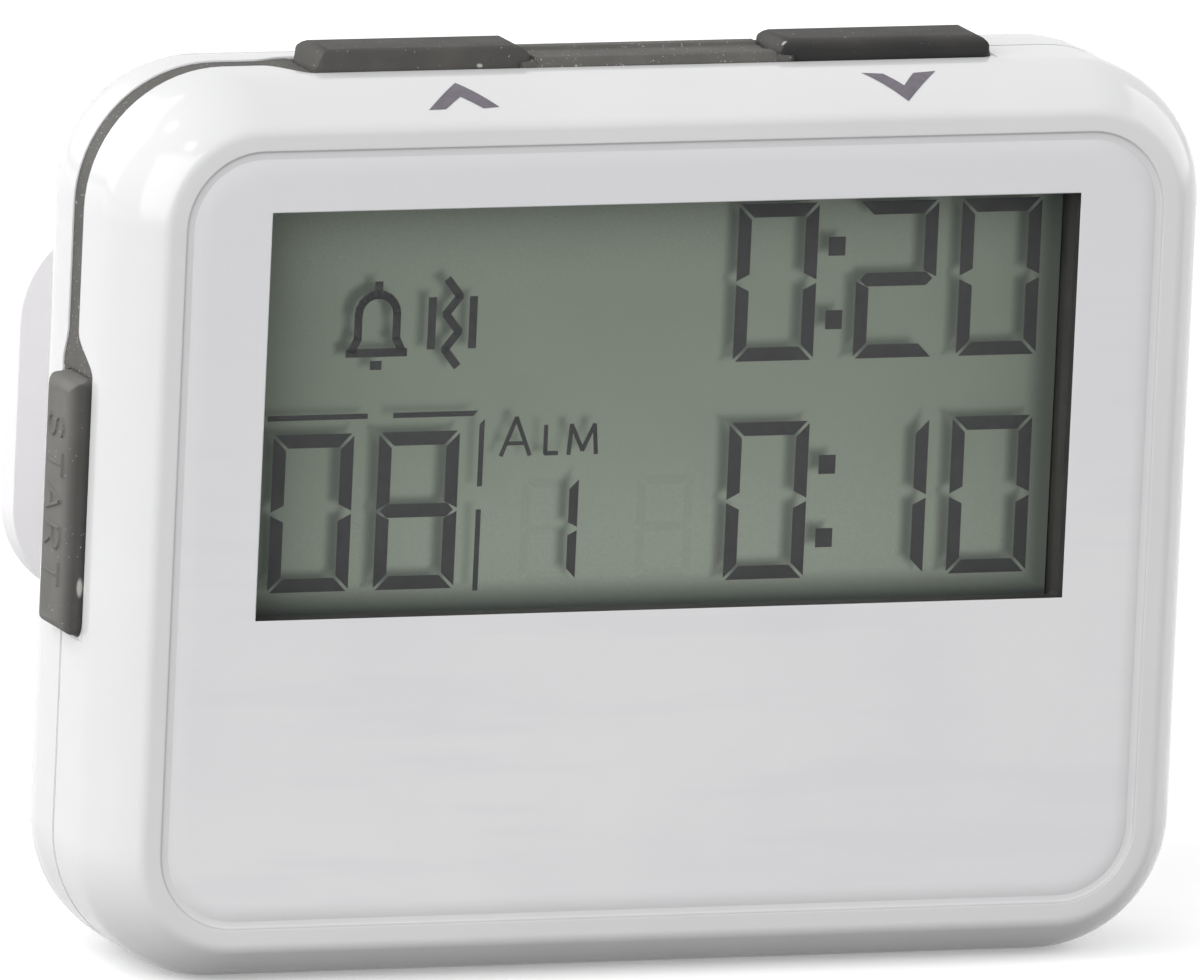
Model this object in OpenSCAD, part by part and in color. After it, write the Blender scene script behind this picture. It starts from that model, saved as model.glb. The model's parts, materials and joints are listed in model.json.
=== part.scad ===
// Clip-on interval timer: a white case in two halves with a large liquid crystal display,
// three rubber keys in the seam, one small cell inside and a sprung belt clip behind.
// Millimetres. X points right, Y from front to back, Z up.
// The case stands on Z = 0 and its two halves meet on the plane Y = 0.

/* [Case] */
// Width of the case
body_w = 57; // [56:0.5:62]
// Height of the case
body_h = 44.7; // [44.2:0.1:50]
// Depth of the front half, from the seam to the bezel plane
front_d = 7.35; // [6.8:0.05:8.2]
// Depth of the straight wall of the rear half
rear_wall = 2.2; // [2:0.1:4]
// Radius that rounds the rear half into its back
rear_round = 6.2; // [5.8:0.1:6.5]
// Corner radius of the case seen from the front
corner_r = 6.9; // [6.6:0.1:8.5]
// Wall thickness of both halves
wall = 1.6; // [1.4:0.1:1.8]
// Width of the curved slope round the front
bevel_w = 2; // [1.8:0.05:2.5]
// Depth of the curved slope round the front
bevel_d = 4.25; // [3.4:0.05:4.25]
// Rounding between the slope and the flat ring inside it
bevel_r = 0.8; // [0.4:0.1:1.2]
// Width of the flat ring between the slope and the front panel
rim_w = 1; // [0.7:0.05:1.2]
// Width and depth of the line where the halves meet
seam = 0.2; // [0.1:0.05:0.3]

/* [Front panel and display] */
// Thickness of the front panel
panel_t = 1.2; // [1:0.05:1.4]
// Gap round the front panel
panel_gap = 0.05; // [0.04:0.01:0.15]
// Width of the window
window_w = 42.2; // [38:0.1:42.4]
// Height of the window
window_h = 20.25; // [18:0.05:20.6]
// Distance from the top of the panel to the window
window_top = 3.05; // [2.8:0.05:3.6]
// Thickness of the clear window
lens_t = 0.9; // [0.7:0.05:1]
// Distance from the bezel plane to the face of the display glass
display_depth = 2.2; // [2.1:0.1:2.5]
// Thickness of one display glass
glass_t = 1; // [0.8:0.05:1.1]
// Wall of the dark frame round the display
frame_wall = 0.4; // [0.35:0.05:0.45]

/* [Keys] */
// Width of the keys from front to back
key_w = 4.3; // [3.8:0.1:4.6]
// Distance of the key centre in front of the seam
key_forward = 0.85; // [0.7:0.05:1]
// Height of the keys above the case
key_proud = 1; // [0.6:0.05:1.1]
// Slope of the key flanks
key_draft = 0.15; // [0.05:0.05:0.3]
// Rounding of the key shoulders
key_round = 0.75; // [0.3:0.05:0.9]
// Rounding of the key corners seen from outside
key_corner = 0.8; // [0.4:0.1:1.2]
// Height of the rubber bar between the top keys above the case
bar_proud = 0.45; // [0.1:0.05:0.6]
// Travel of a key
key_travel = 0.6; // [0.3:0.05:0.6]
// Length of the START key
start_l = 13; // [12:0.1:14]
// Height of the START key centre
start_z = 23.2; // [23:0.05:24]
// Length of the two top keys
top_key_l = 11.5; // [10:0.1:12]
// Centre of the UP key
up_x = -11.8; // [-13:0.1:-10]
// Centre of the DOWN key
down_x = 12.3; // [10:0.1:13]
// Width of the thin part of the rubber strip
band_w = 1.5; // [1.2:0.1:1.7]
// Thickness of the rubber web behind the wall
web_t = 0.6; // [0.4:0.05:0.7]
// Length over which the strip widens into a key
flare_l = 2; // [1:0.1:2.2]
// Gap round a key
key_gap = 0.1; // [0.05:0.01:0.15]

/* [Electronics] */
// Thickness of the circuit board
board_t = 0.8; // [0.6:0.1:0.8]
// Diameter of the vibration motor
motor_dia = 6; // [5:0.1:6]
// Length of the vibration motor
motor_l = 11; // [9:0.5:12]
// Diameter of the buzzer
buzzer_dia = 11; // [9:0.5:11.5]
// Height of the buzzer
buzzer_h = 5.5; // [4:0.1:6]

/* [Cell] */
// Diameter of the cell
cell_dia = 10.5; // [10:0.1:10.5]
// Length of the cell with its nub
cell_l = 44.5; // [43.5:0.1:44.6]
// Distance of the cell axis behind the seam
cell_y = 0.5; // [0.3:0.05:0.6]

/* [Belt clip] */
// Length of the clip plate
clip_l = 43; // [38:0.5:44]
// Height of the clip plate
clip_h = 19.2; // [18:0.2:22]
// Thickness of the clip plate
clip_t = 1.8; // [1.5:0.1:2.2]
// Free space between the clip and the case
clip_gap = 4.8; // [4.2:0.1:5.2]
// Distance of the middle of the clip above the middle of the START key
clip_up = 1.6; // [0:0.1:3]
// Corner radius of the clip plate
clip_r = 5; // [3:0.5:6]
// Turns of the clip spring
clip_turns = 4; // [3:1:5]
// Wire diameter of the clip spring
clip_wire = 0.56; // [0.4:0.02:0.58]

/* [Hidden] */
$fn = 48;
fit = 0.03;
half_w = body_w / 2;
mid_z = body_h / 2;
rear_d = rear_wall + rear_round;
in_x = half_w - wall;
in_top = body_h - wall;
web_x = in_x - web_t;
web_top = in_top - web_t;
// Front panel, window and display
edge = bevel_w + rim_w;
panel_w = body_w - 2 * edge;
panel_h = body_h - 2 * edge;
panel_r = corner_r - edge;
panel_back = panel_t - front_d;
window_z = body_h - edge - window_top - window_h / 2;
front_wall = 1;
shelf = panel_back + front_wall;
glass_side = 0.7;
glass_over = 1.7;
glass_gap = 0.1;
glass_w = window_w + 2 * glass_side;
glass_h = window_h + 2 * glass_over;
frame_w = glass_w + 2 * (glass_gap + frame_wall);
frame_h = glass_h + 2 * (glass_gap + frame_wall);
frame_gap = 0.05;
frame_lip = 0.25;
glass_y = display_depth - front_d;
ledge = 1;
zebra_in = 1.8;
zebra_gap = 0.05;
reflector_t = 0.25;
reflector_room = 1.15;
board_y = glass_y + 2 * glass_t + reflector_t + reflector_room;
board_back = board_y + board_t;
// Keys and their switches
band_sunk = 0.08;
key_y = -key_forward;
key_front = key_y - key_w / 2;
key_rear = key_y + key_w / 2;
key_in = wall - key_travel - key_gap;
plunger_up = 1.2;
plunger_y = board_back + plunger_up;
plunger_gap = 0.05;
plunger_tip = 0.3;
plunger_l = 0.8;
plunger_w = 2;
plunger_t = 1.2;
plunger_root = 0.2;
stem_l = 4;
stem_w = 1;
switch_w = 4.8;
switch_l = 3.3;
switch_h = 3.5;
switch_end = 0.15;
web_edge = 0.1;
web_over = 0.5;
channel_in = 1.1;
channel_d = 0.15;
channel_side = 0.2;
flare_n = 8;
// Cell and its contacts
cell_r = cell_dia / 2;
cell_under = 1.05;
cell_z = wall + cell_r + cell_under;
cell_top = cell_z + cell_r;
nub_l = 0.8;
nub_r = 1.9;
cell_end = 3;
cell_right = in_x - cell_end;
cell_left = cell_right - cell_l;
contact_t = 0.3;
contact_w = 3.4;
contact_back = 3;
contact_front = 4;
contact_seat = 4;
spring_room = 3.6;
rib_x = 12;
rib_t = 1.2;
rib_gap = 0.4;
rib_low = 0.6;
half_gap = 0.2;
// Bosses
boss_r = 1.8;
boss_gap = 0.1;
boss_up = 1.45;
boss_down = 8.5;
boss_x = web_x - boss_gap - boss_r;
boss_low = cell_top + boss_up;
boss_high = body_h - boss_down;
post_r = 1.3;
post_gap = 0.3;
post_x = web_x - boss_gap - post_r;
post_z = boss_low + boss_r + post_r + post_gap;
post_mid_z = (cell_top + window_z - frame_h / 2) / 2;
screw_r = 0.8;
head_r = 1.3;
head_t = 1.2;
head_y = 3.6;
screw_tip = 4;
thread_gap = 0.02;
slot_w = 0.36;
slot_d = 0.5;
pin_screw_r = 0.6;
pin_screw_l = 2.8;
pin_head_r = 1.2;
pin_head_t = 0.8;
pin_slot_d = 0.3;
// Board and what it carries
board_gap = 0.4;
board_under = 0.5;
board_over = 1.8;
board_r = 5;
board_x = web_x - board_gap;
board_low = cell_top + board_under;
board_high = web_top - board_over;
chip_w = 8;
chip_t = 1.4;
chip_in = 10.9;
chip_down = 5.7;
crystal_r = 1;
crystal_l = 6;
crystal_in = 7.9;
crystal_down = 7.2;
capacitor_l = 1.6;
capacitor_t = 0.8;
capacitor_gap = 1;
capacitor_in = 2;
capacitor_down = 4;
buzzer_in = 13.4;
buzzer_down = 12.2;
buzzer_hole = 1;
buzzer_x = board_x - buzzer_in;
buzzer_z = board_high - buzzer_down;
grille_l = 6;
grille_slot = 0.8;
grille_pitch = 1.8;
// Lip of the rear half that goes into the front half
lip_t = 0.8;
lip_h = 1.4;
lip_root = 0.6;
lip_gap = 0.05;
lip_end = 4.5;
lip_side = 8.5;
lip_top = 6;
lip_clear = 0.2;
// Door and clip
door_side = 6.5;
door_w = body_w - 2 * door_side;
door_up = 1.2;
door_over = 0.4;
door_gap = 0.1;
door_y = rear_wall + door_up;
door_top = cell_top + door_over;
rail_clear = 0.25;
rail_t = rear_d - wall - cell_y - cell_r - rail_clear;
rail_in = 1.2;
rail_out = 0.7;
rail_up = 3.1;
rail_end = 1;
rail_gap = 0.1;
rail_root = 0.2;
rail_low = cell_z + rail_up;
tongue_w = 12;
tongue_t = rail_t;
tongue_up = 1.2;
tongue_down = 1.5;
tongue_gap = 0.3;
partition_t = 0.8;
partition_top = door_top + door_gap + partition_t;
grip_w = 0.6;
grip_d = 0.4;
grip_pitch = 1.4;
grip_low = 7;
clip_in = 2.05;
lever_l = 15.8;
pivot_up = 1.8;
clip_left = clip_in - half_w;
clip_z = start_z + clip_up;
clip_y = rear_d + clip_gap;
clip_right = clip_left + clip_l;
pivot_x = clip_left + lever_l;
pivot_y = rear_d + pivot_up;
pin_r = 0.9;
knuckle_r = 1.7;
ear_t = 2.4;
ear_in = 4.3;
ear_gap = 0.4;
ear_sunk = 0.6;
ear_out = ear_in + ear_t + ear_gap;
foot_in = 2.4;
foot_r = 1;
foot_gap = 1.05;
coil_r = 1.4;
coil_pitch = 1.02;
leg_l = 8;
wire_gap = 0.02;

function arc(x, y, r, a, b, n) =
  [for (i = [0:n]) [x + r * cos(a + (b - a) * i / n), y + r * sin(a + (b - a) * i / n)]];

// Edge of the front half: wall, a slope that curves away from it, a small rounding and the bezel plane
slope_r = bevel_d / sin(2 * atan(bevel_w / bevel_d));
slope_x = corner_r - slope_r;
brow_x = sqrt(pow(slope_r - bevel_r, 2) - pow(bevel_d - bevel_r, 2));
brow_turn = atan2(bevel_r - bevel_d, brow_x);
slope_n = 8;
brow_n = 4;
front_edge = concat([[0, 0], [corner_r, 0]],
  arc(slope_x, bevel_d - front_d, slope_r, 0, brow_turn, slope_n),
  arc(slope_x + brow_x, bevel_r - front_d, bevel_r, brow_turn, -90, brow_n),
  [[0, -front_d]]);

// Edge of the rear half at a depth t under its skin, from the height y
function rear_profile(t, y) = concat([[0, y], [corner_r - t, y]],
  arc(corner_r - rear_round, rear_wall, rear_round - t, 0, 90, 9), [[0, rear_d - t]]);
rear_edge = rear_profile(0, 0);
rear_middle = rear_profile(wall / 2, 0);
rear_room = rear_profile(wall, -1);

// Edge of the front panel with its shallow rolled border
roll_w = 1.2;
roll_d = 0.36;
roll_n = 6;
panel_edge = concat([[0, panel_back], [panel_r - panel_gap, panel_back]],
  [for (i = [0:roll_n]) [panel_r - panel_gap - roll_w * (1 - cos(90 * i / roll_n)),
    roll_d * (1 - sin(90 * i / roll_n)) - front_d]], [[0, -front_d]]);

// A rounded block whose edge profile is swept round a rectangle with round corners
module swept_form(w, h, r, pts) {
  x0 = w / 2 - r;
  z0 = h / 2 - r;
  low = min([for (p = pts) p[1]]);
  high = max([for (p = pts) p[1]]);
  rotate([-90, 0, 0]) {
    for (i = [0:3]) {
      sx = (i == 0 || i == 3) ? 1 : -1;
      sz = i < 2 ? 1 : -1;
      along = i % 2 == 0 ? z0 : x0;
      away = i % 2 == 0 ? x0 : z0;
      translate([sx * x0, sz * z0, 0])
        rotate([0, 0, 90 * i])
          rotate_extrude(angle = 90)
            polygon(pts);
      rotate([0, 0, 90 * i])
        translate([away, along, 0])
          rotate([90, 0, 0])
            linear_extrude(height = 2 * along)
              polygon(pts);
    }
    translate([-x0, -z0, low])
      cube([2 * x0, 2 * z0, high - low]);
  }
}

// A flat plate with round corners, seen from the front
module plate(w, h, r, y0, y1) {
  swept_form(w, h, r, [[0, y0], [r, y0], [r, y1], [0, y1]]);
}

// A plate of the outline of the case, drawn in by t
module case_plate(t, y0, y1) {
  plate(body_w - 2 * t, body_h - 2 * t, corner_r - t, y0, y1);
}

// A box given by its two opposite corners
module block(a, b) {
  translate(a)
    cube(b - a);
}

// A round bar along Y
module bar_y(x, z, r, y0, y1) {
  translate([x, y0, z])
    rotate([-90, 0, 0])
      cylinder(r = r, h = y1 - y0);
}

// A round bar along X
module bar_x(y, z, r, x0, x1) {
  translate([x0, y, z])
    rotate([0, 90, 0])
      cylinder(r = r, h = x1 - x0);
}

// Moves a key drawn flat, with X along the key and Z outwards, to its place
module to_start() {
  translate([-half_w, key_y, start_z])
    rotate([0, -90, 0])
      children();
}

module to_top(x) {
  translate([x, key_y, body_h])
    children();
}

// Outline of a key cut across: a drafted flank, a rounded shoulder and a flat top
function key_section(w) =
  let (r = min(key_round, key_proud - fit), half = arc(w - key_draft - r, key_proud - r, r, 0, 90, 5))
  concat([[-w, -key_in], [w, -key_in], [w, 0]], half,
    [for (i = [len(half) - 1:-1:0]) [-half[i][0], half[i][1]]], [[-w, 0]]);

// Body of a key, as far as its section along and its section across agree
module key_pad(l) {
  w = key_w / 2 - key_gap;
  k = l / 2 - key_gap;
  intersection() {
    rotate([90, 0, 90])
      translate([0, 0, -l])
        linear_extrude(height = 2 * l)
          polygon(key_section(w));
    rotate([90, 0, 0])
      translate([0, 0, -key_w])
        linear_extrude(height = 2 * key_w)
          polygon(key_section(k));
    translate([0, 0, -2])
      linear_extrude(height = 4)
        polygon(concat(arc(k - key_corner, w - key_corner, key_corner, 0, 90, 4),
          arc(key_corner - k, w - key_corner, key_corner, 90, 180, 4),
          arc(key_corner - k, key_corner - w, key_corner, 180, 270, 4),
          arc(k - key_corner, key_corner - w, key_corner, 270, 360, 4)));
  }
}

// The stem that carries a key down to its switch
module key_stem() {
  depth = wall + web_t + plunger_tip - plunger_gap;
  translate([-stem_l / 2, plunger_y - key_y - stem_w / 2, -depth])
    cube([stem_l, stem_w, depth - key_in + 0.01]);
}

// The opening for a key, from the outside to the depth d
module key_room(l, d) {
  translate([-l / 2, -key_w / 2, -d])
    cube([l, key_w, d + 3]);
}

// A smooth change from a to b while t goes from 0 to 1
function blend(a, b, t) = a + (b - a) * (1 - cos(180 * t)) / 2;

// The piece of strip that narrows in a double curve from a key to the band, at the key's far end
module flare(l, d, grow, out) {
  front = [for (i = [0:flare_n]) let (t = i / flare_n)
    [flare_l * t, blend(-key_w / 2, -band_w / 2 - key_y, t) - grow]];
  rear = [for (i = [flare_n:-1:0]) let (t = i / flare_n)
    [flare_l * t, blend(key_w / 2, band_w / 2 - key_y, t) + grow]];
  translate([l / 2, 0, -d])
    linear_extrude(height = d + out)
      polygon(concat([[-0.01, -key_w / 2 - grow]], front, rear, [[-0.01, key_w / 2 + grow]]));
}

// The stretch of the outline that carries the rubber strip
module strip_zone() {
  block([-body_w, -9, start_z - start_l / 2], [corner_r - half_w, 9, body_h + 9]);
  block([-body_w, -9, body_h - corner_r], [down_x + top_key_l / 2, 9, body_h + 9]);
}

// Everything the strip and the keys need cut out of the two halves
module strip_room() {
  intersection() {
    translate([0, 0, mid_z])
      difference() {
        case_plate(-1, -band_w / 2 - fit, band_w / 2 + fit);
        case_plate(wall + 0.01, -5, 5);
      }
    strip_zone();
  }
  to_start() {
    key_room(start_l, wall + 0.01);
    flare(start_l, wall + 0.01, fit, 1);
  }
  block([up_x - top_key_l / 2, key_front, in_top - 0.01], [down_x + top_key_l / 2, key_rear, body_h + 3]);
  to_top(up_x)
    mirror([1, 0, 0])
      flare(top_key_l, wall + 0.01, fit, 1);
}

// Tapered opening of the window, wider towards the inside
module window_form(grow, y0, y1) {
  a = window_w / 2 + grow;
  b = window_h / 2 + grow;
  t = y1 - y0;
  translate([0, y0, window_z])
    intersection() {
      translate([0, 0, -body_h])
        linear_extrude(height = 2 * body_h)
          polygon([[-a, 0], [a, 0], [a + t, t], [-a - t, t]]);
      translate([-body_w, 0, 0])
        rotate([90, 0, 90])
          linear_extrude(height = 2 * body_w)
            polygon([[0, -b], [0, b], [t, b + t], [t, -b - t]]);
    }
}

module front_shell() {
  color("white")
    difference() {
      union() {
        translate([0, 0, mid_z])
          difference() {
            swept_form(body_w, body_h, corner_r, front_edge);
            plate(panel_w, panel_h, panel_r, -front_d - 1, panel_back);
            case_plate(wall, shelf, 1);
            difference() {
              case_plate(-1, -seam, 1);
              case_plate(seam, -2, 2);
            }
          }
        for (x = [-boss_x, boss_x]) {
          for (z = [boss_low, boss_high])
            bar_y(x, z, boss_r, shelf - 0.1, 0);
          bar_y(x > 0 ? post_x : -post_x, post_z, post_r, shelf - 0.1, board_y);
        }
        bar_y(0, post_mid_z, post_r, shelf - 0.1, board_y);
        for (x = [-rib_x, rib_x])
          block([x - rib_t / 2, shelf - 0.1, wall - 0.1], [x + rib_t / 2, -half_gap, cell_top - rib_low]);
        block([cell_right + contact_t + fit, shelf - 0.1, cell_z - contact_seat / 2],
          [in_x + 0.1, -half_gap, cell_z + contact_seat / 2]);
        block([-in_x - 0.1, shelf - 0.1, cell_z - contact_seat / 2],
          [cell_left - spring_room - contact_t - fit, -half_gap, cell_z + contact_seat / 2]);
      }
      translate([0, 0, window_z])
        plate(frame_w + 2 * frame_gap, frame_h + 2 * frame_gap, frame_wall, panel_back - 1, shelf + 0.01);
      for (x = [-boss_x, boss_x]) {
        for (z = [boss_low, boss_high])
          bar_y(x, z, screw_r + thread_gap, -screw_tip - 0.1, 1);
        bar_y(x > 0 ? post_x : -post_x, post_z, pin_screw_r + thread_gap, board_y - pin_screw_l - 0.1, 1);
      }
      bar_y(0, post_mid_z, pin_screw_r + thread_gap, board_y - pin_screw_l - 0.1, 1);
      bar_x(cell_y, cell_z, cell_r + fit, cell_left, cell_right - nub_l);
      strip_room();
    }
}

module front_panel() {
  color("gainsboro")
    difference() {
      translate([0, 0, mid_z])
        swept_form(panel_w - 2 * panel_gap, panel_h - 2 * panel_gap, panel_r - panel_gap, panel_edge);
      window_form(0, -front_d - 0.001, panel_back + 0.01);
    }
}

module window_lens() {
  color("lightcyan")
    window_form(-0.02, -front_d, lens_t - front_d);
}

module lcd_frame() {
  color("dimgray")
    translate([0, 0, window_z])
      difference() {
        plate(frame_w, frame_h, frame_wall, panel_back, board_y);
        plate(window_w + 2 * frame_lip, window_h + 2 * frame_lip, frame_lip, -front_d, glass_y + 0.1);
        plate(glass_w + 2 * glass_gap, glass_h + 2 * glass_gap, glass_gap, glass_y, board_y + 1);
      }
}

module lcd_glass() {
  color("darkseagreen")
    translate([0, 0, window_z]) {
      block([-glass_w / 2, glass_y, -glass_h / 2], [glass_w / 2, glass_y + glass_t, glass_h / 2]);
      block([-glass_w / 2, glass_y + glass_t, ledge - glass_h / 2],
        [glass_w / 2, glass_y + 2 * glass_t, glass_h / 2 - ledge]);
    }
}

module lcd_reflector() {
  color("silver")
    translate([0, 0, window_z])
      block([-glass_w / 2, glass_y + 2 * glass_t, ledge - glass_h / 2],
        [glass_w / 2, glass_y + 2 * glass_t + reflector_t, glass_h / 2 - ledge]);
}

module zebra_strips() {
  color("pink")
    translate([0, 0, window_z])
      for (s = [0, 1])
        mirror([0, 0, s])
          block([zebra_in - glass_w / 2, glass_y + glass_t, zebra_gap - glass_h / 2],
            [glass_w / 2 - zebra_in, board_y, ledge - zebra_gap - glass_h / 2]);
}

module circuit_board() {
  color("darkgreen")
    difference() {
      translate([0, 0, (board_low + board_high) / 2])
        plate(2 * board_x, board_high - board_low, board_r, board_y, board_back);
      for (x = [-boss_x, boss_x]) {
        for (z = [boss_low, boss_high])
          bar_y(x, z, boss_r + boss_gap, board_y - 1, board_back + 1);
        bar_y(x > 0 ? post_x : -post_x, post_z, pin_screw_r + boss_gap, board_y - 1, board_back + 1);
      }
      bar_y(0, post_mid_z, pin_screw_r + boss_gap, board_y - 1, board_back + 1);
    }
}

module controller_chip() {
  color("black")
    block([chip_in - board_x, board_back, board_high - chip_down - chip_w],
      [chip_in + chip_w - board_x, board_back + chip_t, board_high - chip_down]);
}

module crystal() {
  color("lightgray")
    translate([crystal_in - board_x, board_back + crystal_r, board_high - crystal_down - crystal_l])
      cylinder(r = crystal_r, h = crystal_l);
}

module chip_capacitors() {
  color("tan")
    for (i = [0:3])
      translate([chip_in + chip_w + capacitor_in - board_x + (capacitor_l + capacitor_gap) * i, board_back,
        board_high - capacitor_down])
        cube([capacitor_l, capacitor_t, capacitor_t]);
}

// One side-pushed switch, drawn with its plunger along +X
module switch_case() {
  difference() {
    block([0, board_back, -switch_w / 2], [switch_l, board_back + switch_h, switch_w / 2]);
    translate([switch_l, plunger_y, 0])
      block([-plunger_root - key_travel - switch_end, -plunger_t / 2 - fit, -plunger_w / 2 - fit],
        [1, plunger_t / 2 + fit, plunger_w / 2 + fit]);
  }
}

module switch_plunger() {
  block([switch_l - plunger_root, plunger_y - plunger_t / 2, -plunger_w / 2],
    [switch_l + plunger_l, plunger_y + plunger_t / 2, plunger_w / 2]);
}

module to_start_switch() {
  translate([-web_x + plunger_tip + plunger_l + switch_l, 0, start_z])
    mirror([1, 0, 0])
      children();
}

module to_top_switch(x) {
  translate([x, 0, web_top - plunger_tip - plunger_l - switch_l])
    rotate([0, -90, 0])
      children();
}

module switch_bodies() {
  color("slategray") {
    to_start_switch()
      switch_case();
    for (x = [up_x, down_x])
      to_top_switch(x)
        switch_case();
  }
}

module start_plunger() {
  color("whitesmoke")
    to_start_switch()
      switch_plunger();
}

module up_plunger() {
  color("whitesmoke")
    to_top_switch(up_x)
      switch_plunger();
}

module down_plunger() {
  color("whitesmoke")
    to_top_switch(down_x)
      switch_plunger();
}

module start_key() {
  color("gray")
    to_start() {
      key_pad(start_l);
      key_stem();
    }
}

module up_key() {
  color("gray")
    to_top(up_x) {
      key_pad(top_key_l);
      key_stem();
    }
}

module down_key() {
  color("gray")
    to_top(down_x) {
      key_pad(top_key_l);
      key_stem();
    }
}

module key_strip() {
  y0 = key_front + web_edge;
  y1 = key_rear - web_edge;
  left = up_x - top_key_l / 2;
  right = down_x + top_key_l / 2;
  color("gray")
    difference() {
      union() {
        intersection() {
          translate([0, 0, mid_z])
            difference() {
              case_plate(band_sunk, -band_w / 2, band_w / 2);
              case_plate(wall + web_t, -5, 5);
            }
          strip_zone();
        }
        block([fit - in_x, y0, start_z - start_l / 2 - web_over],
          [-web_x, y1, start_z + start_l / 2 + flare_l]);
        block([left - flare_l, y0, web_top], [right + web_over, y1, in_top - fit]);
        key_bar();
        to_start()
          flare(start_l, wall + 0.1, 0, -band_sunk);
        to_top(up_x)
          mirror([1, 0, 0])
            flare(top_key_l, wall + 0.1, 0, -band_sunk);
      }
      to_start()
        key_room(start_l, wall - fit);
      for (x = [up_x, down_x])
        to_top(x)
          key_room(top_key_l, wall - fit);
      to_start()
        stem_room();
      for (x = [up_x, down_x])
        to_top(x)
          stem_room();
    }
}

// The bar between the top keys: rounded front and rear edges, and a shallow channel between them
module key_bar() {
  w = key_w / 2 - fit;
  r = bar_proud;
  channel = w - channel_in;
  floor_y = bar_proud - channel_d;
  translate([0, key_y, body_h])
    rotate([90, 0, 90])
      translate([0, 0, up_x + top_key_l / 2])
        linear_extrude(height = down_x - up_x - top_key_l)
          polygon(concat([[-w, -wall - 0.1], [w, -wall - 0.1]], arc(w - r, bar_proud - r, r, 0, 90, 4),
            [[channel, bar_proud], [channel - channel_side, floor_y], [channel_side - channel, floor_y],
             [-channel, bar_proud]], arc(r - w, bar_proud - r, r, 90, 180, 4)));
}

// The slot in the rubber web that lets a stem through
module stem_room() {
  translate([-stem_l / 2 - key_gap, plunger_y - key_y - stem_w / 2 - key_gap, -wall - web_t - 1])
    cube([stem_l + 2 * key_gap, 3, web_t + 2]);
}

module buzzer() {
  color("black")
    difference() {
      bar_y(buzzer_x, buzzer_z, buzzer_dia / 2, board_back, board_back + buzzer_h);
      bar_y(buzzer_x, buzzer_z, buzzer_hole, board_back + buzzer_h - 1, board_back + buzzer_h + 1);
    }
}

// Vibration motor: the cradle stands on the board above the partition over the cell
motor_up = 0.3;
motor_over = 2.4;
motor_in = 15.9;
cradle_in = 2;
cradle_edge = 0.5;
cradle_gap = 0.01;
shaft_r = 0.4;
shaft_gap = 0.03;
shaft_in = 4.8;
shaft_end = 0.2;
shaft_out = 4.4;
weight_gap = 0.6;
weight_l = 3.5;
weight_in = 0.3;
hub_r = 1.1;
motor_r = motor_dia / 2;
motor_y = board_back + motor_up + motor_r;
motor_z = partition_top + motor_over + motor_r;
motor_x = motor_in - board_x;

module motor_cradle() {
  color("lightsteelblue")
    difference() {
      block([motor_x + cradle_in, board_back, motor_z - motor_r - cradle_edge],
        [motor_x + motor_l - cradle_in, motor_y, motor_z + motor_r + cradle_edge]);
      bar_x(motor_y, motor_z, motor_r + cradle_gap, motor_x, motor_x + motor_l + 1);
    }
}

module motor_can() {
  color("lightgray")
    difference() {
      bar_x(motor_y, motor_z, motor_r, motor_x, motor_x + motor_l);
      bar_x(motor_y, motor_z, shaft_r + shaft_gap, motor_x + motor_l - shaft_in - shaft_end,
        motor_x + motor_l + 1);
    }
}

module motor_shaft() {
  color("silver")
    bar_x(motor_y, motor_z, shaft_r, motor_x + motor_l - shaft_in, motor_x + motor_l + shaft_out);
}

module motor_weight() {
  x0 = motor_x + motor_l + weight_gap;
  x1 = x0 + weight_l;
  color("darkgray")
    difference() {
      union() {
        intersection() {
          bar_x(motor_y, motor_z, motor_r - weight_in, x0, x1);
          block([x0 - 1, motor_y - motor_r, motor_z - motor_r], [x1 + 1, motor_y + motor_r, motor_z]);
        }
        bar_x(motor_y, motor_z, hub_r, x0, x1);
      }
      bar_x(motor_y, motor_z, shaft_r, x0 - 1, x1 + 1);
    }
}

module cell() {
  color("goldenrod") {
    bar_x(cell_y, cell_z, cell_r, cell_left, cell_right - nub_l);
    bar_x(cell_y, cell_z, nub_r, cell_right - nub_l - 0.01, cell_right);
  }
}

module positive_contact() {
  color("silver")
    block([cell_right, -contact_front, cell_z - nub_r],
      [cell_right + contact_t, cell_y + contact_back, cell_z + contact_w]);
}

module negative_contact() {
  x = cell_left - spring_room;
  color("silver")
    block([x - contact_t, -contact_front, cell_z - contact_w],
      [x, cell_y + contact_w, cell_z + contact_w]);
}

// A wire of one unbroken tube along a path; the axis is the one it winds about
function unit(v) = v / norm(v);
function path_way(p, i) = unit(p[min(i + 1, len(p) - 1)] - p[max(i - 1, 0)]);
function ring(p, i, r, n, axis) =
  let (t = path_way(p, i), a = unit(cross(t, axis)), b = cross(a, t))
  [for (k = [0:n - 1]) p[i] + r * cos(360 * k / n) * a + r * sin(360 * k / n) * b];
function least_gap(p, r, skip) =
  min([for (i = [0:len(p) - skip - 1]) for (j = [i + skip:len(p) - 1]) norm(p[i] - p[j])]) - 2 * r;

module tube(p, r, n, axis) {
  m = len(p);
  pts = [for (i = [0:m - 1]) each ring(p, i, r, n, axis)];
  skin = [for (i = [0:m - 2]) for (k = [0:n - 1]) for (h = [0, 1])
    h == 0 ? [i * n + k, (i + 1) * n + k, (i + 1) * n + (k + 1) % n]
           : [i * n + k, (i + 1) * n + (k + 1) % n, i * n + (k + 1) % n]];
  ends = [[for (k = [0:n - 1]) k], [for (k = [n - 1:-1:0]) (m - 1) * n + k]];
  polyhedron(points = pts, faces = concat(skin, ends), convexity = 8);
}

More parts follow.
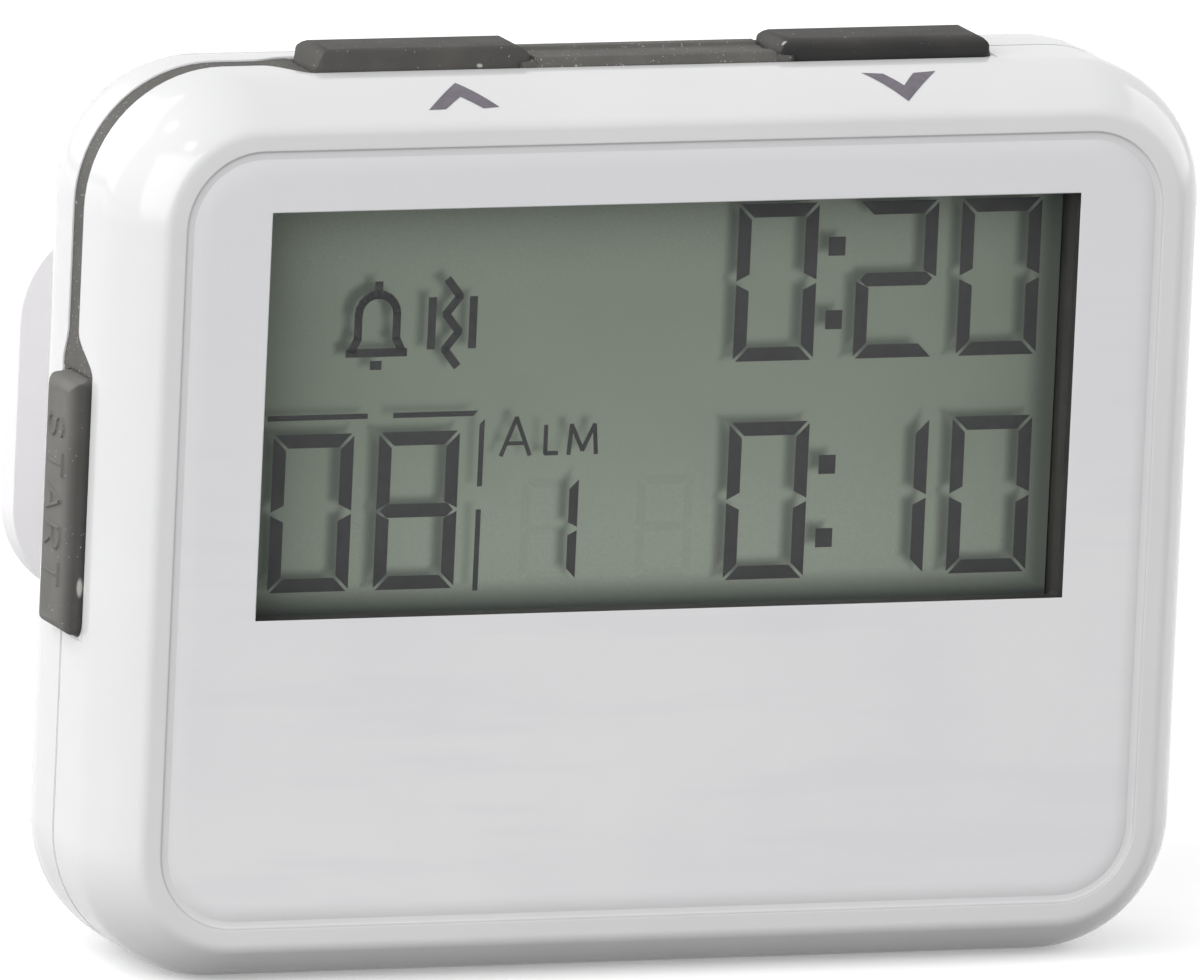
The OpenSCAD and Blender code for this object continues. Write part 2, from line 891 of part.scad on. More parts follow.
// Conical spring that presses the cell against its other contact
cell_wire = 0.2;
cell_turns = 3;
spring_base = 3;
spring_tip = 1.8;
cell_path = [for (i = [0:8 * cell_turns])
  let (t = i / (8 * cell_turns), end = cell_wire + wire_gap,
    r = spring_base + (spring_tip - spring_base) * t)
  [cell_left - spring_room + end + (spring_room - 2 * end) * t,
   cell_y + r * cos(45 * i), cell_z + r * sin(45 * i)]];
echo(cell_spring_least_gap = least_gap(cell_path, cell_wire, 5));

module negative_spring() {
  color("silver")
    tube(cell_path, cell_wire, 6, [1, 0, 0]);
}

// Spring of the clip: one leg on the case, the turns round the pin, one leg under the clip plate
coil_low = clip_z - (clip_turns + 0.5) * coil_pitch / 2;
coil_n = 8 * clip_turns + 4;
clip_path = concat(
  [[pivot_x - leg_l, rear_d + clip_wire / 2 + wire_gap, coil_low]],
  [for (i = [0:coil_n]) [pivot_x + coil_r * cos(45 * i - 90), pivot_y + coil_r * sin(45 * i - 90),
    coil_low + coil_pitch * i / 8]],
  [[pivot_x - leg_l, clip_y - clip_wire / 2 - wire_gap, coil_low + coil_pitch * coil_n / 8]]);
echo(clip_spring_least_gap = least_gap(clip_path, clip_wire / 2, 5));

module clip_spring() {
  color("silver")
    tube(clip_path, clip_wire / 2, 6, [0, 0, 1]);
}

module rear_cover() {
  color("white")
    difference() {
      union() {
        difference() {
          translate([0, 0, mid_z])
            swept_form(body_w, body_h, corner_r, rear_edge);
          translate([0, 0, mid_z])
            swept_form(body_w, body_h, corner_r, rear_room);
          block([-door_w / 2, door_y, -1], [door_w / 2, rear_d + 1, door_top]);
          for (x = [-1, 1])
            translate([x * door_w / 2, 0, 0])
              block([-rail_out - rail_gap, rear_d - wall - rail_t - rail_gap, -1],
                [rail_out + rail_gap, rear_d - wall, door_top - rail_end + rail_gap]);
        }
        intersection() {
          translate([0, 0, mid_z])
            swept_form(body_w, body_h, corner_r, rear_middle);
          union() {
            for (x = [-boss_x, boss_x])
              for (z = [boss_low, boss_high])
                bar_y(x, z, boss_r, 0, rear_d);
            block([-boss_x, board_back + pin_head_t + rib_gap, door_top + door_gap],
              [boss_x, rear_d - wall - tongue_t - tongue_gap, partition_top]);
          }
        }
        intersection() {
          difference() {
            translate([0, 0, mid_z])
              difference() {
                union() {
                  case_plate(wall + lip_gap, -lip_h, lip_root);
                  case_plate(wall - 0.1, 0, lip_root);
                }
                case_plate(wall + lip_t, -5, 5);
              }
            for (x = [-rib_x, rib_x])
              block([x - rib_t / 2 - rib_gap, -5, 0], [x + rib_t / 2 + rib_gap, 0.1, cell_z]);
            for (x = [-boss_x, boss_x])
              for (z = [boss_low, boss_high])
                bar_y(x, z, boss_r + lip_clear, -5, 0.1);
            block([-body_w, -5, start_z - start_l / 2 - lip_end], [lip_side - half_w, 9, body_h + 1]);
            block([-body_w, -5, body_h - lip_top], [body_w, 9, body_h + 1]);
            for (x = [-1, 1])
              translate([x * in_x, 0, cell_z])
                block([-4, -5, -contact_seat / 2 - lip_clear], [4, 0.1, contact_seat / 2 + lip_clear]);
          }
          block([-body_w, -5, 0], [body_w, 9, body_h]);
        }
        for (s = [-1, 1])
          translate([pivot_x, 0, clip_z + s * ear_in]) {
            block([-knuckle_r, rear_d - ear_sunk, -ear_t / 2], [knuckle_r, pivot_y, ear_t / 2]);
            translate([0, pivot_y, -ear_t / 2])
              cylinder(r = knuckle_r, h = ear_t);
          }
      }
      translate([pivot_x, pivot_y, clip_z - ear_out])
        cylinder(r = pin_r + thread_gap, h = 2 * ear_out);
      for (x = [-boss_x, boss_x])
        for (z = [boss_low, boss_high]) {
          bar_y(x, z, screw_r + boss_gap, -1, rear_d);
          bar_y(x, z, head_r + boss_gap, head_y, rear_d + 1);
        }
      for (i = [-1:1])
        translate([buzzer_x, rear_d, buzzer_z + grille_pitch * i])
          block([-grille_l / 2, -wall - 0.1, -grille_slot / 2], [grille_l / 2, 1, grille_slot / 2]);
      strip_room();
    }
}

module battery_door() {
  inner = rear_d - wall;
  color("white")
    difference() {
      union() {
        intersection() {
          translate([0, 0, mid_z])
            difference() {
              swept_form(body_w, body_h, corner_r, rear_edge);
              swept_form(body_w, body_h, corner_r, rear_room);
            }
          block([door_gap - door_w / 2, door_y + door_gap, -1],
            [door_w / 2 - door_gap, rear_d + 1, door_top - door_gap]);
        }
        for (s = [0, 1])
          mirror([s, 0, 0])
            block([door_w / 2 - rail_in, inner - rail_t, rail_low],
              [door_w / 2 + rail_out, inner - fit, door_top - rail_end]);
        for (s = [0, 1])
          mirror([s, 0, 0])
            block([door_w / 2 - rail_in, inner - rail_t, rail_low],
              [door_w / 2 - rail_root, inner + rail_root, door_top - rail_end]);
        block([-tongue_w / 2, inner - tongue_t, door_top - tongue_down],
          [tongue_w / 2, inner - fit, door_top + tongue_up]);
        block([-tongue_w / 2, inner - tongue_t, door_top - tongue_down],
          [tongue_w / 2, inner + rail_root, door_top - tongue_gap]);
      }
      for (i = [0:3])
        translate([0, rear_d, grip_low + grip_pitch * i])
          block([-tongue_w / 2, -grip_d, 0], [tongue_w / 2, 1, grip_w]);
    }
}

module clip_lever() {
  color("white")
    difference() {
      union() {
        translate([(clip_left + clip_right) / 2, 0, clip_z])
          plate(clip_l, clip_h, clip_r, clip_y, clip_y + clip_t);
        for (s = [-1, 1])
          translate([pivot_x, 0, clip_z + s * ear_out]) {
            block([-knuckle_r, pivot_y, -ear_t / 2], [knuckle_r, clip_y + ear_sunk, ear_t / 2]);
            translate([0, pivot_y, -ear_t / 2])
              cylinder(r = knuckle_r, h = ear_t);
          }
        translate([clip_right - foot_in, 0, clip_z - clip_h / 2 + clip_r]) {
          block([-foot_r, rear_d + foot_gap, 0], [foot_r, clip_y + ear_sunk, clip_h - 2 * clip_r]);
          translate([0, rear_d + foot_gap, 0])
            cylinder(r = foot_r, h = clip_h - 2 * clip_r);
        }
      }
      translate([pivot_x, pivot_y, clip_z - ear_out - ear_t])
        cylinder(r = pin_r + fit, h = 2 * (ear_out + ear_t));
    }
}

module clip_pin() {
  color("silver")
    translate([pivot_x, pivot_y, clip_z - ear_out - ear_t / 2])
      cylinder(r = pin_r, h = 2 * ear_out + ear_t);
}

module case_screws() {
  color("silver")
    for (x = [-boss_x, boss_x])
      for (z = [boss_low, boss_high])
        difference() {
          union() {
            bar_y(x, z, screw_r, -screw_tip, head_y + 0.1);
            bar_y(x, z, head_r, head_y, head_y + head_t);
          }
          translate([x, head_y + head_t, z])
            block([-screw_r, -slot_d, -slot_w / 2], [screw_r, 1, slot_w / 2]);
          translate([x, head_y + head_t, z])
            block([-slot_w / 2, -slot_d, -screw_r], [slot_w / 2, 1, screw_r]);
        }
}

module board_screws() {
  color("silver")
    for (p = [[-post_x, post_z], [post_x, post_z], [0, post_mid_z]])
      difference() {
        union() {
          bar_y(p[0], p[1], pin_screw_r, board_y - pin_screw_l, board_back + 0.1);
          bar_y(p[0], p[1], pin_head_r, board_back, board_back + pin_head_t);
        }
        translate([p[0], board_back + pin_head_t, p[1]])
          block([-screw_r, -pin_slot_d, -slot_w / 2], [screw_r, 1, slot_w / 2]);
      }
}

front_shell();
front_panel();
window_lens();
lcd_frame();
lcd_glass();
lcd_reflector();
zebra_strips();
circuit_board();
controller_chip();
crystal();
chip_capacitors();
switch_bodies();
start_plunger();
up_plunger();
down_plunger();
start_key();
up_key();
down_key();
key_strip();
buzzer();
motor_cradle();
motor_can();
motor_shaft();
motor_weight();
cell();
positive_contact();
negative_contact();
negative_spring();
rear_cover();
battery_door();
clip_lever();
clip_pin();
clip_spring();
case_screws();
board_screws();
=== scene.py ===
"""Looks of the clip-on interval timer: its finishes, display figures and key marks, in studio light."""
import json
import math

import bpy
import numpy as np
from mathutils import Matrix, Vector


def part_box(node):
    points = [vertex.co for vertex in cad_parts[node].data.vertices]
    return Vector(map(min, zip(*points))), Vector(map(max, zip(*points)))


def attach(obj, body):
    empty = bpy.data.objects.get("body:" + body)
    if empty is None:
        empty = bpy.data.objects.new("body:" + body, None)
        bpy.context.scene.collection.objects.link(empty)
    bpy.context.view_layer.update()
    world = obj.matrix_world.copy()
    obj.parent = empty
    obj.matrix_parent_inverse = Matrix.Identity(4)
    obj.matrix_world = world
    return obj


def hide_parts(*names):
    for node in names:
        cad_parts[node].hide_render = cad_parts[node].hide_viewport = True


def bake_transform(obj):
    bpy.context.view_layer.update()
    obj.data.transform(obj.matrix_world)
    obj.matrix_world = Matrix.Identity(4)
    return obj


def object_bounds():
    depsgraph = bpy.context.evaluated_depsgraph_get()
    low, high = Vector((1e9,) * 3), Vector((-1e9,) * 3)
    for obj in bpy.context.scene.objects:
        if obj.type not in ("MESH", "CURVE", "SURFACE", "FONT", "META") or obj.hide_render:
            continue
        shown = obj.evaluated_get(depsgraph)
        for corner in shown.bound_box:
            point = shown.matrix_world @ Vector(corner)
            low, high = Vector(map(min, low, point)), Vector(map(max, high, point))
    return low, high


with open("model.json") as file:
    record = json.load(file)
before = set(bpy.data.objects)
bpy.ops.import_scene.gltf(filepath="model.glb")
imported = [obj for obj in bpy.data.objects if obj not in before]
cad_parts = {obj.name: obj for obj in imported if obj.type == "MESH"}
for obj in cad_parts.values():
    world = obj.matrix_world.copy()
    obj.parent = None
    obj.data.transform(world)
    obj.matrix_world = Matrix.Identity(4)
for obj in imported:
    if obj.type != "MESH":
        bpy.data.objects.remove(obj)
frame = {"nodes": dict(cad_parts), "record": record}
cad_low, cad_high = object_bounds()
nodes = frame["nodes"]

MM = 0.001
WHITE = (1.0, 1.0, 1.0, 1.0)

# The photograph's view: angles in degrees, distances in metres, scale in pixels per metre,
# sensor in millimetres and places in pixels of its 1200 x 980 frame
VIEW_AZIMUTH = -20.935
VIEW_ELEVATION = 11.084
VIEW_ROLL = 2.587
VIEW_DISTANCE = 1.7387
VIEW_NEAREST = 0.1
VIEW_FARTHEST = 20.0
VIEW_SCALE = 20437.0
SENSOR_WIDTH = 36.0
IMAGE_SIZE = (1200, 980)
FOCUS_PIXEL = (664.1, 530.2)


def srgb(r, g, b):
    """A colour as it is seen on a screen, from 0 to 255, as the linear colour that a shader takes."""
    def linear(value):
        v = value / 255
        return v / 12.92 if v <= 0.04045 else ((v + 0.055) / 1.055) ** 2.4
    return (linear(r), linear(g), linear(b), 1.0)


# Meshes


def mesh_piece(name, corners, faces, material):
    """An object of one material, with its corners in metres in the shared frame."""
    mesh = bpy.data.meshes.new(name)
    mesh.from_pydata(corners, [], faces)
    mesh.materials.append(material)
    piece = bpy.data.objects.new(name, mesh)
    bpy.context.scene.collection.objects.link(piece)
    return piece


def band(first, second, count):
    """The faces between two closed rings of count corners, numbered from first and from second on."""
    pairs = [(k, (k + 1) % count) for k in range(count)]
    return [[first + k, first + after, second + after, second + k] for k, after in pairs]


# Finishes

KEY_FRONT = -3.0 * MM
PANEL_R = 3.85 * MM
PANEL_GAP = 0.05 * MM
CASE_EDGE = 0.12 * MM
KEY_EDGE = 0.15 * MM
PANEL_EDGE = 0.06 * MM
EDGE_SAMPLES = 6
SPOT_CORE = 0.4
KEY_DUST = 0.74
STRIP_DUST = 0.69
SPECK_SOFTNESS = 0.05
# Band along Y in which painted shade darkens the keys' front flank
FLANK_SHADE_BAND = (0.75 * MM, 0.1 * MM)


def seen_directly(tree):
    """1 where the camera, a mirror or a clear sheet shows a surface, 0 where it lights the object."""
    path = tree.nodes.new("ShaderNodeLightPath")
    total = path.outputs["Is Camera Ray"]
    for ray in ("Is Glossy Ray", "Is Transmission Ray"):
        either = tree.nodes.new("ShaderNodeMath")
        either.operation = "MAXIMUM"
        tree.links.new(total, either.inputs[0])
        tree.links.new(path.outputs[ray], either.inputs[1])
        total = either.outputs["Value"]
    return total


class Finish:
    """A material with a Principled shader, and the few node chains that the finishes here share."""

    def __init__(self, name, roughness, specular=0.5, metallic=0.0, alpha=1.0):
        self.material = bpy.data.materials.new(name)
        self.material.use_nodes = True
        self.tree = self.material.node_tree
        self.shader = self.tree.nodes["Principled BSDF"]
        self.shader.inputs["Roughness"].default_value = roughness
        self.shader.inputs["Specular IOR Level"].default_value = specular
        self.shader.inputs["Metallic"].default_value = metallic
        self.shader.inputs["Alpha"].default_value = alpha
        self.place = self.node("ShaderNodeTexCoord").outputs["Object"]
        self.normal = None

    def node(self, kind, **settings):
        made = self.tree.nodes.new(kind)
        for key, value in settings.items():
            setattr(made, key, value)
        return made

    def link(self, source, target):
        self.tree.links.new(source, target)

    def noise(self, size, detail=2.0, stretch=(1, 1, 1)):
        """Noise whose spots are about size across, in metres, drawn out along an axis by stretch."""
        mapping = self.node("ShaderNodeMapping")
        mapping.inputs["Scale"].default_value = [1 / s for s in stretch]
        self.link(self.place, mapping.inputs["Vector"])
        texture = self.node("ShaderNodeTexNoise")
        texture.inputs["Scale"].default_value = 1 / size
        texture.inputs["Detail"].default_value = detail
        self.link(mapping.outputs["Vector"], texture.inputs["Vector"])
        return texture.outputs["Fac"]

    def vector(self, operation, value, constant=(0, 0, 0)):
        """A vector operation on a value and, where it takes two, a constant."""
        made = self.node("ShaderNodeVectorMath", operation=operation)
        made.inputs[1].default_value = constant
        self.link(value, made.inputs[0])
        return made.outputs["Value" if operation == "LENGTH" else "Vector"]

    def ramp(self, value, low, high):
        """0 at low and 1 at high, smooth between them; low may be the larger of the two."""
        made = self.node("ShaderNodeMapRange", interpolation_type="SMOOTHSTEP")
        made.inputs["From Min"].default_value = low
        made.inputs["From Max"].default_value = high
        self.link(value, made.inputs["Value"])
        return made.outputs["Result"]

    def along(self, axis, start, end):
        """0 before start and 1 after end, two places on the X, Y or Z axis in metres."""
        split = self.node("ShaderNodeSeparateXYZ")
        self.link(self.place, split.inputs["Vector"])
        return self.ramp(split.outputs[axis], start, end)

    def near(self, point, radius, stretch):
        """1 at a point of the object, in metres, fading to 0 at radius from it."""
        offset = self.vector("SUBTRACT", self.place, point)
        distance = self.vector("LENGTH", self.vector("DIVIDE", offset, stretch))
        return self.ramp(distance, radius, radius * SPOT_CORE)

    def border(self, centre, half_x, half_z, radius):
        """How far a point lies inside a rectangle with round corners that faces the front, in metres."""
        any_depth = 1.0
        size = self.vector("ABSOLUTE", self.vector("SUBTRACT", self.place, centre))
        past = self.vector("SUBTRACT", size, (half_x - radius, any_depth, half_z - radius))
        distance = self.vector("LENGTH", self.vector("MAXIMUM", past))
        inside = self.node("ShaderNodeMath", operation="SUBTRACT")
        inside.inputs[0].default_value = radius
        self.link(distance, inside.inputs[1])
        return inside.outputs["Value"]

    def share(self, value, amount):
        made = self.node("ShaderNodeMath", operation="MULTIPLY")
        made.inputs[1].default_value = amount
        self.link(value, made.inputs[0])
        return made.outputs["Value"]

    def mix(self, share, a, b):
        """Colour a where share is 0 and colour b where it is 1; each is a colour or a node's output."""
        made = self.node("ShaderNodeMix", data_type="RGBA")
        self.link(share, made.inputs["Factor"])
        for key, value in (("A", a), ("B", b)):
            socket = next(s for s in made.inputs if s.name == key and s.type == "RGBA")
            if isinstance(value, tuple):
                socket.default_value = value
            else:
                self.link(value, socket)
        return next(s for s in made.outputs if s.type == "RGBA")

    def clouds(self, size, detail, light, dark, low=0.3, high=0.7):
        """Two colours in soft patches of about size, in metres."""
        return self.mix(self.ramp(self.noise(size, detail), low, high), light, dark)

    def colour(self, value):
        self.link(value, self.shader.inputs["Base Color"])

    def rough(self, value, low, high):
        """Roughness from low to high as value goes from 0 to 1."""
        made = self.node("ShaderNodeMapRange")
        made.inputs["To Min"].default_value = low
        made.inputs["To Max"].default_value = high
        self.link(value, made.inputs["Value"])
        self.link(made.outputs["Result"], self.shader.inputs["Roughness"])

    def soft_edges(self, radius):
        """Breaks the sharp edges, as moulded and stamped pieces have them broken."""
        bevel = self.node("ShaderNodeBevel", samples=EDGE_SAMPLES)
        bevel.inputs["Radius"].default_value = radius
        self.normal = bevel.outputs["Normal"]
        self.link(self.normal, self.shader.inputs["Normal"])

    def bump(self, height, depth, strength):
        """Relief of a depth in metres."""
        made = self.node("ShaderNodeBump")
        made.inputs["Strength"].default_value = strength
        made.inputs["Distance"].default_value = depth
        self.link(height, made.inputs["Height"])
        if self.normal:
            self.link(self.normal, made.inputs["Normal"])
        self.normal = made.outputs["Normal"]
        self.link(self.normal, self.shader.inputs["Normal"])


def moulded(name, light, dark, roughness, edge=0.0):
    """Moulded plastic: a faint cloudiness, a fine skin and slightly uneven gloss."""
    f = Finish(name, roughness)
    f.colour(f.clouds(14 * MM, 3, light, dark, 0.35, 0.65))
    f.rough(f.noise(1.2 * MM, 3), roughness - 0.03, roughness + 0.04)
    if edge:
        f.soft_edges(edge)
    f.bump(f.noise(0.6 * MM, 1), 0.002 * MM, 0.4)
    return f.material


def panel_finish():
    """The front panel: satin, cooler than the case, with faint sideways wipe marks, a dark line at its edge,
    painted light and shade that make it darker at the top than at the bottom, and painted shade along its
    border.
    """
    low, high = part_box("front_panel")
    f = Finish("panel_satin", 0.42)
    # Painted light and shade: the panel is darker at its top and lighter at its bottom
    fade = f.mix(f.along("Z", high.z, low.z), srgb(238, 238, 240), srgb(248, 248, 249))
    cloud = f.mix(f.share(f.ramp(f.noise(16 * MM, 3), 0.35, 0.65), 0.4), fade, srgb(237, 237, 240))
    wipes = f.ramp(f.noise(1.6 * MM, 3, (9, 1, 1)), 0.45, 0.7)
    face = f.mix(f.share(wipes, 0.3), cloud, srgb(235, 235, 239))
    inside = f.border((low + high) / 2, (high.x - low.x) / 2, (high.z - low.z) / 2, PANEL_R)
    # Painted shade: a darker band along the panel's border, where the bezel's edge shades it
    painted_border_shade = f.mix(f.share(f.ramp(inside, 1.2 * MM, 0.1 * MM), 0.4), face, srgb(220, 219, 220))
    rim = f.ramp(inside, 0.08 * MM, -0.04 * MM)
    f.colour(f.mix(f.share(rim, 0.7), painted_border_shade, srgb(186, 182, 181)))
    f.rough(f.noise(2.5 * MM, 4, (5, 1, 1)), 0.36, 0.5)
    f.soft_edges(PANEL_EDGE)
    f.bump(f.noise(0.3 * MM, 2), 0.003 * MM, 0.5)
    return f.material


def rubber_finish(name, light, dark, dust, spots=(), flank_shade=0.0):
    """Grey keypad rubber: a fine matt skin with dust specks, light scuffs at spots (point, radius, stretch)
    and painted shade that darkens the flank facing the front edge of the case."""
    f = Finish(name, 0.62, specular=0.12)
    skin = f.clouds(3 * MM, 4, light, dark)
    specks = f.ramp(f.noise(0.16 * MM, 1), dust, dust + SPECK_SOFTNESS)
    # Painted shade: the flank next to the case's front edge is darkened towards near-black
    if flank_shade:
        front = f.along("Y", KEY_FRONT + FLANK_SHADE_BAND[0], KEY_FRONT + FLANK_SHADE_BAND[1])
        skin = f.mix(f.share(front, flank_shade), skin, srgb(30, 30, 31))
    shown = f.mix(f.share(specks, 0.75), skin, srgb(190, 190, 188))
    for point, radius, stretch in spots:
        shown = f.mix(f.share(f.near(point, radius, stretch), 0.8), shown, srgb(196, 197, 190))
    f.colour(shown)
    f.rough(f.noise(1.2 * MM, 3), 0.55, 0.72)
    f.soft_edges(KEY_EDGE)
    f.bump(f.noise(0.12 * MM, 3), 0.01 * MM, 0.5)
    return f.material


def clear_finish(name, tint, alpha, roughness):
    """A clear sheet that lets light straight through, with a trace of haze."""
    f = Finish(name, roughness, specular=0.6, alpha=alpha)
    f.colour(f.mix(f.noise(6 * MM, 3), tint, srgb(60, 66, 62)))
    return f.material


def reflector_finish():
    """The grey-green rear film of the display, with its fine grain, painted light that lightens it towards
    its top and its bottom, and the painted shade of the figures and the window's walls on it.
    """
    low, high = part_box("lcd_reflector")
    f = Finish("display_film", 0.6, specular=0.2)
    cloud = f.clouds(9 * MM, 3, srgb(153, 163, 149), srgb(149, 159, 145))
    # Painted light: the film is lighter towards its top and towards its bottom
    upper = f.mix(f.along("Z", high.z - 7 * MM, high.z), cloud, srgb(176, 186, 172))
    lower = f.mix(f.along("Z", (low.z + high.z) / 2, low.z), upper, srgb(168, 178, 164))
    grain = f.ramp(f.noise(0.09 * MM, 2), 0.3, 0.7)
    film = f.mix(f.share(grain, 0.3), lower, srgb(140, 150, 138))
    shade = f.node("ShaderNodeAttribute", attribute_name="shade")
    f.colour(f.mix(f.share(shade.outputs["Fac"], SHADE_DEPTH), film, srgb(78, 83, 81)))
    f.bump(grain, 0.01 * MM, 0.4)
    return f.material


def dark_finish(name, light, dark, roughness):
    """Dark moulded or potted pieces inside the case."""
    f = Finish(name, roughness, specular=0.4)
    f.colour(f.clouds(2 * MM, 4, light, dark))
    f.rough(f.noise(0.8 * MM, 3), roughness - 0.08, roughness + 0.1)
    f.bump(f.noise(0.15 * MM, 3), 0.008 * MM, 0.6)
    return f.material


def metal_finish(name, light, dark, roughness, drawn=(1, 1, 1)):
    """Plated or drawn metal with fine marks along its drawing direction."""
    f = Finish(name, roughness, metallic=1.0)
    marks = f.noise(0.2 * MM, 4, drawn)
    f.colour(f.mix(f.ramp(marks, 0.3, 0.7), light, dark))
    f.rough(f.noise(0.9 * MM, 3), roughness - 0.08, roughness + 0.12)
    f.bump(marks, 0.003 * MM, 0.5)
    return f.material


def board_finish():
    """Green solder mask over faint copper tracks."""
    f = Finish("solder_mask", 0.32)
    mask = f.clouds(4 * MM, 3, srgb(30, 96, 60), srgb(22, 80, 48))
    tracks = f.ramp(f.noise(2.2 * MM, 0, (1, 6, 6)), 0.52, 0.54)
    f.colour(f.mix(f.share(tracks, 0.6), mask, srgb(52, 124, 72)))
    f.rough(f.noise(1.5 * MM, 3), 0.29, 0.44)
    f.bump(tracks, 0.02 * MM, 0.5)
    return f.material


def cell_finish():
    """A plain cell sleeve: grey with a dark band at its positive end, and bare metal at the nub."""
    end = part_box("cell")[1].x
    f = Finish("cell_sleeve", 0.3)
    sleeve = f.clouds(5 * MM, 3, srgb(176, 178, 182), srgb(162, 165, 170))
    banded = f.mix(f.along("X", end - 13 * MM, end - 12.8 * MM), sleeve, srgb(52, 54, 60))
    bare = f.along("X", end - 1.2 * MM, end - 1.1 * MM)
    f.colour(f.mix(bare, banded, srgb(200, 200, 198)))
    f.link(bare, f.shader.inputs["Metallic"])
    f.rough(f.noise(1.5 * MM, 3), 0.29, 0.4)
    f.bump(f.noise(0.6 * MM, 3), 0.006 * MM, 0.5)
    return f.material


def connector_finish():
    """Dark silicone crossed by thin black conducting layers."""
    f = Finish("zebra_silicone", 0.55)
    waves = f.node("ShaderNodeTexWave", bands_direction="X")
    waves.inputs["Scale"].default_value = 1 / (1.6 * MM)
    f.link(f.place, waves.inputs["Vector"])
    body = f.mix(f.noise(3 * MM, 3), srgb(66, 64, 64), srgb(58, 56, 56))
    f.colour(f.mix(f.ramp(waves.outputs["Fac"], 0.6, 0.75), body, srgb(44, 43, 44)))
    return f.material


def ink_finish(name, light, dark, roughness, alpha=1.0):
    """A thin printed or switched layer, slightly uneven."""
    f = Finish(name, roughness, specular=0.25, alpha=alpha)
    f.colour(f.clouds(0.5 * MM, 3, light, dark))
    return f.material


# Smooth shading of the frame's pieces

MERGE_DISTANCE = 0.002 * MM
SHARP_FROM = math.radians(32)


def smooth_shading_group():
    """Joins the patches of a piece and shades it smooth, but for edges that turn by more than SHARP_FROM."""
    group = bpy.data.node_groups.new("smooth_shading", "GeometryNodeTree")
    for way in ("INPUT", "OUTPUT"):
        group.interface.new_socket("Geometry", in_out=way, socket_type="NodeSocketGeometry")
    made = group.nodes.new
    start = made("NodeGroupInput")
    plain = made("GeometryNodeRemoveAttribute")
    plain.inputs["Name"].default_value = "custom_normal"
    merge = made("GeometryNodeMergeByDistance")
    merge.inputs["Distance"].default_value = MERGE_DISTANCE
    smooth = made("GeometryNodeSetShadeSmooth")
    angle = made("GeometryNodeInputMeshEdgeAngle")
    turn = made("FunctionNodeCompare")
    turn.inputs["B"].default_value = SHARP_FROM
    sharp = made("GeometryNodeSetShadeSmooth")
    sharp.domain = "EDGE"
    sharp.inputs["Shade Smooth"].default_value = False
    end = made("NodeGroupOutput")
    chain = [start, plain, merge, smooth, sharp, end]
    for a, b in zip(chain, chain[1:]):
        group.links.new(a.outputs[0], b.inputs[0])
    group.links.new(angle.outputs["Unsigned Angle"], turn.inputs["A"])
    group.links.new(turn.outputs["Result"], sharp.inputs["Selection"])
    return group


def smooth_shading(piece, group):
    piece.modifiers.new("smooth", "NODES").node_group = group
    weighted = piece.modifiers.new("weighted", "WEIGHTED_NORMAL")
    weighted.keep_sharp = True


# Flat figures

LONGEST_CORNER = 0.35
STROKE_OVERLAP = 0.4


def anticlockwise(outline):
    ends = outline[1:] + outline[:1]
    area = sum(a.x * b.y - b.x * a.y for a, b in zip(outline, ends))
    return outline if area > 0 else outline[::-1]


def grown(outline, distance):
    """A convex outline, anticlockwise, moved outwards by a distance."""
    count = len(outline)
    moved = []
    for i in range(count):
        before = (outline[i] - outline[i - 1]).normalized()
        after = (outline[(i + 1) % count] - outline[i]).normalized()
        out_before = Vector((before.y, -before.x))
        out_after = Vector((after.y, -after.x))
        middle = (out_before + out_after).normalized()
        moved.append(outline[i] + middle * distance / max(LONGEST_CORNER, middle.dot(out_before)))
    return moved


def rectangle(x, z, w, h):
    return [Vector((x, z)), Vector((x + w, z)), Vector((x + w, z + h)), Vector((x, z + h))]


def bar(a, b, width):
    """The outline of a straight stroke with square ends."""
    a, b = Vector(a), Vector(b)
    along = (b - a).normalized()
    side = Vector((-along.y, along.x)) * width / 2
    return [a - side, b - side, b + side, a + side]


def stroke(points, width):
    """A stroke through points, as one outline for each stretch; the stretches overlap at the bends."""
    reach = width / 2
    outlines = []
    last = len(points) - 2
    for i in range(len(points) - 1):
        a, b = Vector(points[i]), Vector(points[i + 1])
        along = (b - a).normalized()
        start = a - along * reach * STROKE_OVERLAP if i > 0 else a
        end = b + along * reach * STROKE_OVERLAP if i < last else b
        outlines.append(bar(start, end, width))
    return outlines


def arc(x, z, radius, start, end, count):
    """Points along an arc, its angles in degrees."""
    turns = [math.radians(start + (end - start) * i / count) for i in range(count + 1)]
    return [(x + radius * math.cos(t), z + radius * math.sin(t)) for t in turns]


def flat_piece(name, outlines, to_frame, material, body):
    """A piece of flat outlines, which to_frame takes from the outline's plane to the shared frame."""
    corners, faces = [], []
    for outline in outlines:
        faces.append(list(range(len(corners), len(corners) + len(outline))))
        corners += [to_frame(point) for point in outline]
    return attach(mesh_piece(name, corners, faces, material), body)


# Display: sizes in millimetres from the middle of the window, X to the right and Z up

DIGIT = (4.2, 7.86, 0.68)
SMALL_DIGIT = (2.95, 5.15, 0.48)
SEGMENT_GAP = 0.16
SEGMENT_SLANT = 0.7
DIGIT_COLUMNS = (4.25, 10.54, 15.97)
COLON_X = 9.46
COLON_W = 0.88
COLON_H = 0.95
COLON_STEPS = (1.98, 5.65)
UPPER_ROW = 1.57
LOWER_ROW = -9.34
ROUND_COLUMNS = (-19.55, -14.05)
SMALL_COLUMNS = (-6.47, -0.45)
SMALL_ROW = -9.12
SEGMENTS_OF = {
    "0": "abcdef", "1": "bc", "2": "abdeg", "3": "abcdg", "4": "bcfg",
    "5": "acdfg", "6": "acdefg", "7": "abc", "8": "abcdefg", "9": "abcdfg",
}

FRAME_LINE = 0.27
FRAME_TOP = -0.78
FRAME_SIDE = -8.85

